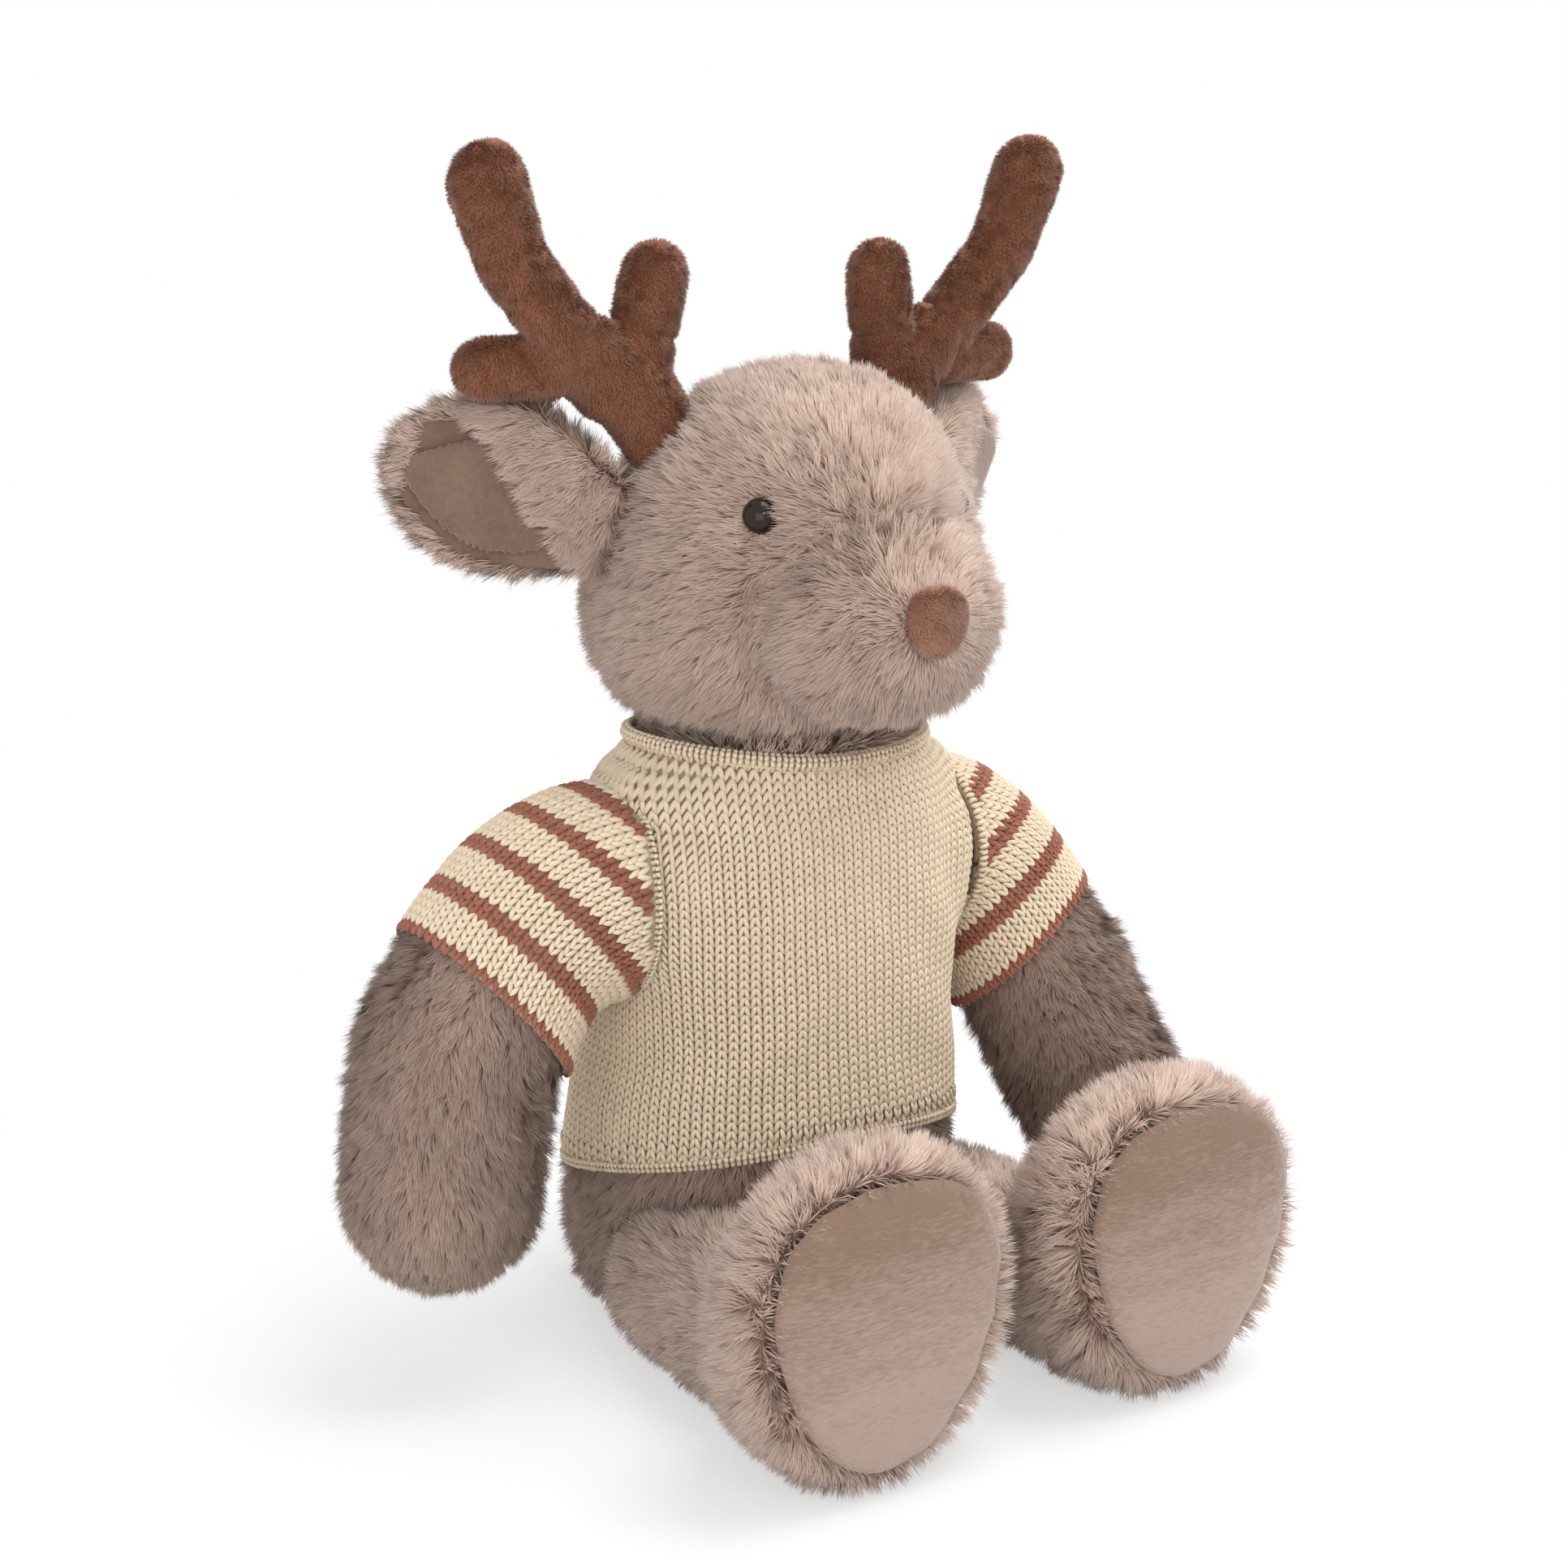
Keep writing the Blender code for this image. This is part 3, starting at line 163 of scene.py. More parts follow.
def mixShaders(tree, share, low, high, end):
    mix = tree.nodes.new("ShaderNodeMixShader")
    tree.links.new(share.socket, mix.inputs[0])
    tree.links.new(low.outputs[0], mix.inputs[1])
    tree.links.new(high.outputs[0], mix.inputs[2])
    tree.links.new(mix.outputs[0], tree.nodes[end].inputs["Surface"])


def makeStudio():
    scene = bpy.context.scene
    scene.view_settings.view_transform = "Standard"
    turn, pitch = math.radians(studio["azimuth"]), math.radians(studio["pitch"])
    camera = bpy.data.objects.new("camera", bpy.data.cameras.new("camera"))
    level = Vector((math.sin(turn), math.cos(turn), 0))
    camera.location = level * -studio["distance"] + Vector((0, 0, studio["height"]))
    ahead = level * math.cos(pitch) - Vector((0, 0, math.sin(pitch)))
    camera.rotation_euler = ahead.to_track_quat("-Z", "Y").to_euler()
    camera.data.sensor_width = studio["sensor"]
    camera.data.lens = studio["lens"]
    camera.data.shift_x = studio["shift"]
    camera.data.clip_start = studio["clipStart"]
    scene.collection.objects.link(camera)
    scene.camera = camera

    bpy.ops.mesh.primitive_circle_add(vertices=64, radius=studio["floorRadius"], fill_type="NGON")
    floor = bpy.context.object
    floor.name = "floor"
    made, tree, shader = newMaterial("floorPaper", roughness=1.0, specular=0.0)
    shader.inputs["Base Color"].default_value = (*studio["floorColour"], 1)
    place = shaderNode(tree, "ShaderNodeTexCoord")
    apart = out(shaderNode(tree, "ShaderNodeVectorMath", {"operation": "LENGTH"}, Vector=out(place, 3)), 1)
    near, far = studio["floorFade"]
    fade = shaderNode(tree, "ShaderNodeMapRange", {"interpolation_type": "SMOOTHSTEP"},
                      Value=apart, From_Min=near, From_Max=far)
    white = studio["floorWhite"]
    share = (out(fade) * (1 - white) + white) * seenStraight(tree)
    paper = shaderNode(tree, "ShaderNodeEmission", Color=(1, 1, 1, 1), Strength=1.0)
    mixShaders(tree, share, shader, paper, "Material Output")
    floor.data.materials.append(made)

    world = bpy.data.worlds.new("studio")
    scene.world = world
    world.use_nodes = True
    tree = world.node_tree
    light = tree.nodes["Background"]
    light.inputs["Color"].default_value = (1, 1, 1, 1)
    light.inputs["Strength"].default_value = studio["worldStrength"]
    plain = shaderNode(tree, "ShaderNodeBackground", Color=(1, 1, 1, 1), Strength=1.0)
    mixShaders(tree, seenStraight(tree), light, plain, "World Output")

    for name, (place, aim, power, size) in studio["lamps"].items():
        lamp(name, place, aim, power, size)


makeStudio()
print("studio done")


# Geometry Nodes: the pile of fur on a skin, and stitches on points

def treeInput(tree, name, kind, value=None):
    made = tree.interface.new_socket(name=name, in_out="INPUT", socket_type=kind)
    if value is not None:
        made.default_value = value
    return made


def geoNode(tree, kind, settings=None, values=None):
    made = tree.nodes.new(kind)
    for key, value in (settings or {}).items():
        setattr(made, key, value)
    for key, value in (values or {}).items():
        socket = made.inputs[key]
        if isinstance(value, bpy.types.NodeSocket):
            tree.links.new(value, socket)
        else:
            socket.default_value = value
    return made


def geoMaths(tree, operation, a, b=0.0):
    return geoNode(tree, "ShaderNodeMath", {"operation": operation}, {0: a, 1: b}).outputs[0]


def geoVector(tree, operation, a, b=None):
    values = {0: a}
    if b is not None:
        values["Scale" if operation == "SCALE" else 1] = b
    return geoNode(tree, "ShaderNodeVectorMath", {"operation": operation}, values).outputs[0]


def geoDot(tree, a, b):
    return geoNode(tree, "ShaderNodeVectorMath", {"operation": "DOT_PRODUCT"}, {0: a, 1: b}).outputs["Value"]


def named(tree, name, kind="FLOAT"):
    return geoNode(tree, "GeometryNodeInputNamedAttribute", {"data_type": kind}, {"Name": name}).outputs[0]


def stored(tree, geometry, name, value, kind, domain):
    return geoNode(tree, "GeometryNodeStoreNamedAttribute", {"data_type": kind, "domain": domain},
                   {"Geometry": geometry, "Name": name, "Value": value}).outputs[0]


def randomFloat(tree, low, high, seed):
    made = tree.nodes.new("FunctionNodeRandomValue")
    made.data_type = "FLOAT"
    made.inputs[2].default_value = low
    made.inputs[3].default_value = high
    made.inputs[8].default_value = seed
    return made.outputs[1]


finish = {"mapAcross": 0.006, "mapTone": 0.98, "floorGap": 0.0002}


# A strand's tone goes to its place across the map, and the way along it to the map's height;
# soft strands catch the light as their skin does, and none reaches into the floor
def finishStrands(tree, instances, toneField, material, soft=False):
    toned = stored(tree, instances, "tone", toneField, "FLOAT", "INSTANCE")
    real = geoNode(tree, "GeometryNodeRealizeInstances", {}, {0: toned})
    if soft:
        behind = named(tree, "behind")
        ahead = geoVector(tree, "SCALE", named(tree, "lie", "FLOAT_VECTOR"),
                          geoMaths(tree, "SUBTRACT", 1.0, behind))
        back = geoVector(tree, "SCALE", named(tree, "lieBack", "FLOAT_VECTOR"), behind)
        real = geoNode(tree, "GeometryNodeSetMeshNormal", {"mode": "FREE", "domain": "POINT"},
                       {"Mesh": real.outputs[0], "Custom Normal": geoVector(tree, "ADD", ahead, back)})
    across = geoMaths(tree, "MULTIPLY", named(tree, "across"), finish["mapAcross"])
    u = geoMaths(tree, "ADD", geoMaths(tree, "MULTIPLY", named(tree, "tone"), finish["mapTone"]), across)
    spot = geoNode(tree, "ShaderNodeCombineXYZ", {}, {0: u, 1: named(tree, "along")}).outputs[0]
    mapped = stored(tree, real.outputs[0], "OFBake", spot, "FLOAT2", "CORNER")
    place = geoNode(tree, "GeometryNodeInputPosition").outputs[0]
    x, y, z = geoNode(tree, "ShaderNodeSeparateXYZ", {}, {0: place}).outputs
    lifted = geoMaths(tree, "MAXIMUM", z, finish["floorGap"])
    held = geoNode(tree, "ShaderNodeCombineXYZ", {}, {0: x, 1: y, 2: lifted}).outputs[0]
    moved = geoNode(tree, "GeometryNodeSetPosition", {}, {"Geometry": mapped, "Position": held})
    dressed = geoNode(tree, "GeometryNodeSetMaterial", {}, {"Geometry": moved.outputs[0], "Material": material})
    tree.links.new(dressed.outputs[0], tree.nodes["Group Output"].inputs[0])


def newTree(name):
    tree = bpy.data.node_groups.new(name, "GeometryNodeTree")
    tree.interface.new_socket(name="Geometry", in_out="INPUT", socket_type="NodeSocketGeometry")
    tree.interface.new_socket(name="Geometry", in_out="OUTPUT", socket_type="NodeSocketGeometry")
    start = tree.nodes.new("NodeGroupInput")
    tree.nodes.new("NodeGroupOutput")
    return tree, start


# What a pile is unless its piece says otherwise; the shares below hold for every pile
pileInputs = {
    "Strands per area": 2.4e6, "Length": 0.0065, "Width": 0.00042, "Stand": 0.75,
    "Wander": 0.75, "Tuft size": 0.009, "Stray": 0.22, "Clump size": 0.0025, "Clump": 95.0,
    "Parting": 0.62, "Tone": 0.0, "Lit by lie": 0.45, "Glint": 0.16,
}
strand = {
    "drift": 3.2, "leastRise": 0.30, "tall": (0.72, 1.12), "wide": (0.75, 1.25), "backTurn": 1.2,
    "patchScale": 70.0, "patchTone": 0.42, "ownTone": 0.30, "clumpTone": 0.28,
    "straySeed": 3, "tallSeed": 5, "wideSeed": 6, "toneSeed": 7,
}


# Combed strands on a skin that carries the fields grow, pile and comb
def pileTree(material, blade):
    tree, start = newTree("fur pile")
    for name, value in pileInputs.items():
        treeInput(tree, name, "NodeSocketFloat", value)
    treeInput(tree, "Seed", "NodeSocketInt", 1)
    density = geoMaths(tree, "MULTIPLY", start.outputs["Strands per area"], named(tree, "grow"))
    spread = geoNode(tree, "GeometryNodeDistributePointsOnFaces", {"distribute_method": "RANDOM"},
                     {"Mesh": start.outputs[0], "Density": density, "Seed": start.outputs["Seed"]})
    normal = spread.outputs["Normal"]
    place = geoNode(tree, "GeometryNodeInputPosition").outputs[0]
    fine = geoMaths(tree, "DIVIDE", 1.0, start.outputs["Tuft size"])
    drift = geoNode(tree, "ShaderNodeTexNoise", {"noise_dimensions": "3D"},
                    {"Vector": place, "Scale": fine, "Detail": 2.0})
    drift = geoVector(tree, "SUBTRACT", drift.outputs["Color"], (0.5, 0.5, 0.5))
    drift = geoVector(tree, "SCALE", drift, geoMaths(tree, "MULTIPLY", start.outputs["Wander"], strand["drift"]))
    # Each clump leans its own way, and its tips draw together
    clump = geoNode(tree, "ShaderNodeTexVoronoi", {"voronoi_dimensions": "3D"},
                    {"Vector": place, "Scale": geoMaths(tree, "DIVIDE", 1.0, start.outputs["Clump size"])})
    lean = geoVector(tree, "SCALE", geoVector(tree, "SUBTRACT", clump.outputs["Color"], (0.5, 0.5, 0.5)),
                     start.outputs["Parting"])
    pull = geoVector(tree, "SCALE", geoVector(tree, "SUBTRACT", clump.outputs["Position"], place),
                     start.outputs["Clump"])
    drift = geoVector(tree, "ADD", drift, geoVector(tree, "ADD", lean, pull))
    chance = tree.nodes.new("FunctionNodeRandomValue")
    chance.data_type = "FLOAT_VECTOR"
    chance.inputs[0].default_value = (-1, -1, -1)
    chance.inputs[1].default_value = (1, 1, 1)
    chance.inputs[8].default_value = strand["straySeed"]
    stray = geoVector(tree, "SCALE", chance.outputs[0], start.outputs["Stray"])
    ahead = geoVector(tree, "ADD", geoVector(tree, "SCALE", normal, start.outputs["Stand"]),
                      named(tree, "comb", "FLOAT_VECTOR"))
    ahead = geoVector(tree, "ADD", ahead, geoVector(tree, "ADD", drift, stray))
    # A strand never points back into its skin
    lack = geoMaths(tree, "SUBTRACT", strand["leastRise"], geoDot(tree, ahead, normal))
    lack = geoMaths(tree, "MAXIMUM", lack, 0.0)
    ahead = geoVector(tree, "ADD", ahead, geoVector(tree, "SCALE", normal, lack))
    ahead = geoVector(tree, "NORMALIZE", ahead)
    faced = geoNode(tree, "FunctionNodeAxesToRotation", {"primary_axis": "Z", "secondary_axis": "Y"},
                    {"Primary Axis": ahead, "Secondary Axis": normal})
    tall = geoMaths(tree, "MULTIPLY", start.outputs["Length"], named(tree, "pile"))
    tall = geoMaths(tree, "MULTIPLY", tall, randomFloat(tree, *strand["tall"], strand["tallSeed"]))
    wide = geoMaths(tree, "MULTIPLY", start.outputs["Width"],
                    randomFloat(tree, *strand["wide"], strand["wideSeed"]))
    lit = geoVector(tree, "ADD", geoVector(tree, "SCALE", ahead, start.outputs["Lit by lie"]), normal)
    lit = geoVector(tree, "ADD", lit, geoVector(tree, "SCALE", chance.outputs[0], start.outputs["Glint"]))
    spots = stored(tree, spread.outputs["Points"], "lie", geoVector(tree, "NORMALIZE", lit), "FLOAT_VECTOR", "POINT")
    # The strand's back is turned away from its front
    rise = geoDot(tree, ahead, normal)
    flat = geoVector(tree, "NORMALIZE", geoVector(tree, "SUBTRACT", normal, geoVector(tree, "SCALE", ahead, rise)))
    litBack = geoVector(tree, "SUBTRACT", lit, geoVector(tree, "SCALE", flat, strand["backTurn"]))
    spots = stored(tree, spots, "lieBack", geoVector(tree, "NORMALIZE", litBack), "FLOAT_VECTOR", "POINT")
    size = geoNode(tree, "ShaderNodeCombineXYZ", {}, {0: wide, 1: tall, 2: tall}).outputs[0]
    bladeInfo = geoNode(tree, "GeometryNodeObjectInfo", {}, {"Object": blade})
    grown = geoNode(tree, "GeometryNodeInstanceOnPoints", {}, {
        "Points": spots, "Instance": bladeInfo.outputs["Geometry"],
        "Rotation": faced.outputs[0], "Scale": size})
    patch = geoNode(tree, "ShaderNodeTexNoise", {"noise_dimensions": "3D"},
                    {"Vector": place, "Scale": strand["patchScale"], "Detail": 2.0})
    cell = geoNode(tree, "ShaderNodeSeparateXYZ", {}, {0: clump.outputs["Color"]}).outputs[0]
    tone = geoMaths(tree, "ADD", geoMaths(tree, "MULTIPLY", patch.outputs[0], strand["patchTone"]),
                    randomFloat(tree, 0.0, strand["ownTone"], strand["toneSeed"]))
    tone = geoMaths(tree, "ADD", tone, geoMaths(tree, "MULTIPLY", cell, strand["clumpTone"]))
    # The piece's tone shift: painted light (lighter) on the legs, neck and ears, painted shade (darker) on the arms
    # and torso
    tone = geoMaths(tree, "ADD", tone, start.outputs["Tone"])
    tone = geoMaths(tree, "MINIMUM", geoMaths(tree, "MAXIMUM", tone, 0.0), 1.0)
    finishStrands(tree, grown.outputs[0], tone, material, soft=True)
    return tree


# One leg of yarn on each point, which carries its direction, face, size and tone
def stitchTree(material, yarn):
    tree, start = newTree("knitted stitches")
    treeInput(tree, "Yarn", "NodeSocketFloat", 1.0)
    faced = geoNode(tree, "FunctionNodeAxesToRotation", {"primary_axis": "Z", "secondary_axis": "Y"}, {
        "Primary Axis": named(tree, "way", "FLOAT_VECTOR"),
        "Secondary Axis": named(tree, "face", "FLOAT_VECTOR")})
    size = geoVector(tree, "SCALE", named(tree, "size", "FLOAT_VECTOR"), start.outputs["Yarn"])
    yarnInfo = geoNode(tree, "GeometryNodeObjectInfo", {}, {"Object": yarn})
    placed = geoNode(tree, "GeometryNodeInstanceOnPoints", {}, {
        "Points": start.outputs[0], "Instance": yarnInfo.outputs["Geometry"],
        "Rotation": faced.outputs[0], "Scale": size})
    finishStrands(tree, placed.outputs[0], named(tree, "shade"), material)
    return tree


def link(name, data):
    obj = bpy.data.objects.new(name, data)
    bpy.context.scene.collection.objects.link(obj)
    return obj


def meshOf(name, points, faces):
    data = bpy.data.meshes.new(name)
    data.from_pydata([tuple(p) for p in points], [], faces)
    data.update()
    data.shade_smooth()
    return data


# Faces are turned outwards, and points without a face go
def faceOutwards(data):
    mesh = bmesh.new()
    mesh.from_mesh(data)
    bmesh.ops.delete(mesh, geom=[v for v in mesh.verts if not v.link_faces], context="VERTS")
    bmesh.ops.recalc_face_normals(mesh, faces=mesh.faces)
    mesh.to_mesh(data)
    mesh.free()


def addField(data, name, kind, values):
    field = data.attributes.new(name, kind, "POINT")
    key = {"FLOAT": "value", "FLOAT_VECTOR": "vector"}[kind]
    field.data.foreach_set(key, np.asarray(values, dtype=np.float32).ravel())


def dropFields(data, names):
    for name in [f.name for f in data.attributes if f.name in names]:
        data.attributes.remove(data.attributes[name])


def evaluated(obj, keepFields=False):
    deps = bpy.context.evaluated_depsgraph_get()
    return bpy.data.meshes.new_from_object(
        obj.evaluated_get(deps), preserve_all_data_layers=keepFields, depsgraph=deps)


skinFields = ("comb", "grow", "pile")
workFields = (
    *skinFields, "tone", "across", "along", "behind", "way", "face", "size", "shade", "lie", "lieBack")


# The result of a Geometry Nodes tree on the source, as a plain mesh object
def grown(source, tree, inputs, name):
    step = source.modifiers.new("made", "NODES")
    step.node_group = tree
    for item in tree.interface.items_tree:
        if item.in_out == "INPUT" and item.name in inputs:
            step[item.identifier] = inputs[item.name]
    data = evaluated(source, keepFields=True)
    source.modifiers.remove(step)
    data.name = name
    dropFields(data, workFields)
    data.shade_smooth()
    made = link(name, data)
    print(name, len(data.polygons), "faces")
    return made


def perPoint(data, key):
    values = np.zeros(len(data.vertices) * 3, dtype=np.float32)
    data.vertices.foreach_get(key, values)
    return values.reshape(-1, 3).astype(float)


def coords(data):
    return perPoint(data, "co")


def normals(data):
    return perPoint(data, "normal")


def setCoords(data, points):
    data.vertices.foreach_set("co", np.asarray(points, dtype=np.float32).ravel())
    data.update()


def keepLargestShell(mesh):
    left = set(mesh.verts)
    shells = []
    while left:
        todo, shell = [left.pop()], []
        while todo:
            vert = todo.pop()
            shell.append(vert)
            for edge in vert.link_edges:
                other = edge.other_vert(vert)
                if other in left:
                    left.discard(other)
                    todo.append(other)
        shells.append(shell)
    shells.sort(key=len)
    for shell in shells[:-1]:
        bmesh.ops.delete(mesh, geom=shell, context="VERTS")


# One closed skin round the solids of a stuffed form, smoothed and moved along its normals;
# size is the piece's dictionary
def clothFrom(name, sources, size):
    mesh = bmesh.new()
    for source in sources:
        part = bmesh.new()
        part.from_mesh(nodes[source].data)
        bmesh.ops.remove_doubles(part, verts=part.verts, dist=1e-6)
        held = bpy.data.meshes.new("held")
        part.to_mesh(held)
        part.free()
        mesh.from_mesh(held)
        bpy.data.meshes.remove(held)
    data = bpy.data.meshes.new(name)
    mesh.to_mesh(data)
    mesh.free()
    obj = link(name, data)
    remesh = obj.modifiers.new("remesh", "REMESH")
    remesh.mode = "VOXEL"
    remesh.voxel_size = size["voxel"]
    even = obj.modifiers.new("even", "SMOOTH")
    even.factor = 0.5
    even.iterations = size["smooth"]
    made = evaluated(obj)
    obj.modifiers.clear()
    mesh = bmesh.new()
    mesh.from_mesh(made)
    keepLargestShell(mesh)
    mesh.to_mesh(made)
    mesh.free()
    made.name = name
    made.update()
    setCoords(made, coords(made) + normals(made) * size["inset"])
    old = obj.data
    obj.data = made
    bpy.data.meshes.remove(old)
    made.shade_smooth()
    return obj


def unit(values):
    return values / np.maximum(np.linalg.norm(values, axis=-1, keepdims=True), 1e-9)


def smoothStep(low, high, values):
    t = np.clip((values - low) / (high - low), 0, 1)
    return t * t * (3 - 2 * t)


# A soft hill of height 1 about zero
def hump(values, width):
    return np.exp(-(values / width) ** 2)


# How far points are along an axis and off it
def besideAxis(points, start, axis):
    gap = points - start
    level = gap @ axis
    return level, np.linalg.norm(gap - level[:, None] * axis, axis=1)


def jointOf(child):
    return next(j for j in frame["joints"] if j["child"] == child)


# Stores the fur's direction along the skin, its length and where it grows
def combed(obj, ways, pile, grow):
    data = obj.data
    outward = normals(data)
    ways = ways - outward * np.sum(ways * outward, axis=1, keepdims=True)
    addField(data, "comb", "FLOAT_VECTOR", ways)
    addField(data, "pile", "FLOAT", pile)
    addField(data, "grow", "FLOAT", grow)


# Materials

# Each ramp runs from a strand's root to its tip: darker at the root as painted shade among the strands, lighter at
# the tip
furColours = {
    "dark": [(0.0, (0.17, 0.106, 0.078)), (0.45, (0.365, 0.250, 0.194)), (1.0, (0.54, 0.400, 0.330))],
    "light": [(0.0, (0.28, 0.178, 0.132)), (0.45, (0.67, 0.488, 0.395)), (1.0, (0.88, 0.705, 0.605))],
}
# Along a leg of yarn: darker at its lower end, which tucks under the stitch below, as painted shade
yarnColours = {
    "cream": [(0.0, (0.42, 0.315, 0.205)), (0.35, (0.68, 0.555, 0.400)), (1.0, (0.80, 0.680, 0.510))],
    "rust": [(0.0, (0.115, 0.040, 0.024)), (0.35, (0.255, 0.092, 0.056)), (1.0, (0.34, 0.135, 0.085))],
}


# From root to tip: darker at the root as painted shade within the nap
napColours = {
    "antlerDark": [(0, (0.105, 0.036, 0.019)), (0.5, (0.21, 0.079, 0.040)), (1, (0.315, 0.128, 0.070))],
    "antlerLight": [(0, (0.140, 0.050, 0.026)), (0.5, (0.305, 0.120, 0.064)), (1, (0.445, 0.203, 0.120))],
    "noseDark": [(0, (0.17, 0.070, 0.040)), (0.5, (0.32, 0.145, 0.085)), (1, (0.44, 0.220, 0.140))],
    "noseLight": [(0, (0.23, 0.100, 0.060)), (0.5, (0.45, 0.225, 0.145)), (1, (0.60, 0.345, 0.245))],
}


def brighter(stops, factor):
    return [(place, tuple(c * factor for c in colour)) for place, colour in stops]


# Colour by the strand's own tone and by the way along it, both kept in its map; each ramp darkens toward the root as
# painted shade
def strandMaterial(name, darkStops, lightStops, roughness, sheen):
    made, tree, shader = newMaterial(name, roughness=roughness, sheen=sheen, specular=0.15)
    spot = shaderNode(tree, "ShaderNodeUVMap", {"uv_map": "OFBake"})
    parts = shaderNode(tree, "ShaderNodeSeparateXYZ", Vector=out(spot))
    low = shaderNode(tree, "ShaderNodeValToRGB", {"stops": darkStops}, Fac=out(parts, 1))
    high = shaderNode(tree, "ShaderNodeValToRGB", {"stops": lightStops}, Fac=out(parts, 1))
    tree.links.new(mixColours(tree, out(parts, 0), out(low), out(high)).socket, shader.inputs["Base Color"])
    return made


# Woven or velour cloth: two tones in soft patches, and a fine grain in the bump
def clothMaterial(name, low, high, scale, roughness=0.95, sheen=0.2, bump=0.2,
                  streaks=None, paintedShadeAbove=None, grainShare=0.8, contrast=2.2):
    made, tree, shader = newMaterial(name, roughness=roughness, sheen=sheen, specular=0.15)
    place = shaderNode(tree, "ShaderNodeTexCoord")
    spot = out(place, 3)
    if streaks:
        spot = out(shaderNode(tree, "ShaderNodeMapping", Vector=spot, Scale=streaks))
    patch = shaderNode(tree, "ShaderNodeTexNoise", Vector=spot, Scale=scale, Detail=4.0, Roughness=0.6)
    grain = shaderNode(tree, "ShaderNodeTexNoise", Vector=spot, Scale=scale * 14, Detail=2.0)
    mask = (out(patch) - 0.5) * contrast + 0.33 + (out(grain) - 0.5) * grainShare
    if paintedShadeAbove:
        # Higher up, where the nap lies the other way, the colour is painted darker: painted shade
        height = out(shaderNode(tree, "ShaderNodeSeparateXYZ", Vector=out(place, 3)), 2)
        mask = mask + (height - paintedShadeAbove) * -22
    mask = mask.maths("MAXIMUM", 0.0).maths("MINIMUM", 1.0)
    tree.links.new(mixColours(tree, mask, low, high).socket, shader.inputs["Base Color"])
    rise = shaderNode(tree, "ShaderNodeBump", Height=out(grain) + out(patch) * 0.5, Strength=bump, Distance=0.0006)
    tree.links.new(rise.outputs[0], shader.inputs["Normal"])
    return made


furStrands = strandMaterial("furStrands", furColours["dark"], furColours["light"], 0.85, 0.15)
# The backing under the fur is coloured darker than the fur, as painted shade in the gaps between the strands
furSkinShade = clothMaterial("furBacking", (0.26, 0.18, 0.145), (0.38, 0.275, 0.225), 90)
creamYarn = strandMaterial("creamYarn", yarnColours["cream"], brighter(yarnColours["cream"], 1.12), 0.9, 0.2)
rustYarn = strandMaterial("rustYarn", yarnColours["rust"], brighter(yarnColours["rust"], 1.25), 0.9, 0.2)
# The cloth behind the stitches is a darker cream than the yarn, as painted shade in the gaps between them
knitBackShade = clothMaterial("knitBacking", (0.37, 0.285, 0.19), (0.48, 0.38, 0.265), 300)
# The sole velour is painted darker higher up, as painted shade
velourSole = clothMaterial("soleVelour", (0.228, 0.146, 0.104), (0.385, 0.280, 0.228), 60,
                           roughness=0.8, sheen=0.3, bump=0.3,
                           streaks=(0.45, 1.0, 2.2), paintedShadeAbove=0.050, grainShare=1.5, contrast=1.0)
velourEar = clothMaterial("earVelour", (0.165, 0.100, 0.070), (0.262, 0.165, 0.122), 60,
                          roughness=0.8, sheen=0.5, bump=0.3)
minky = clothMaterial("antlerMinky", (0.155, 0.060, 0.031), (0.27, 0.115, 0.062), 80,
                      roughness=0.85, sheen=0.3, bump=0.35)
minkyNap = strandMaterial("minkyNap", napColours["antlerDark"], napColours["antlerLight"], 0.8, 0.2)
noseCloth = clothMaterial("noseVelour", (0.27, 0.120, 0.070), (0.42, 0.210, 0.135), 110,
                          roughness=0.8, sheen=0.5, bump=0.3)
noseNap = strandMaterial("noseNap", napColours["noseDark"], napColours["noseLight"], 0.8, 0.3)


def eyeMaterial():
    made, tree, shader = newMaterial("eyeBrown", roughness=0.10, specular=0.28)
    place = shaderNode(tree, "ShaderNodeTexCoord")
    patch = shaderNode(tree, "ShaderNodeTexNoise", Vector=out(place, 3), Scale=260.0, Detail=2.0)
    tone = mixColours(tree, out(patch), (0.010, 0.005, 0.004), (0.032, 0.016, 0.010))
    tree.links.new(tone.socket, shader.inputs["Base Color"])
    return made


eyeGloss = eyeMaterial()

# One tapered strand: a front and, just behind it, a back
bladeData = meshOf(
    "blade", [(-0.5, 0, 0), (0.5, 0, 0), (0, 0, 1), (-0.5, -0.004, 0), (0.5, -0.004, 0), (0, -0.004, 1)],
    [(1, 0, 2), (3, 4, 5)])
addField(bladeData, "across", "FLOAT", [0, 1, 0.5] * 2)
addField(bladeData, "along", "FLOAT", [0, 0, 1] * 2)
addField(bladeData, "behind", "FLOAT", [0, 0, 0, 1, 1, 1])
blade = link("blade", bladeData)


# A drop of yarn along Z, thickest above its middle; each ring is its height, radius and rise
yarnDrop = {"rings": ((-0.28, 0.36, -0.04), (0.08, 0.50, 0.10), (0.36, 0.34, 0.02)), "around": 5,
            "start": (0, -0.15, -0.5), "end": (0, -0.12, 0.5), "flat": 0.8}


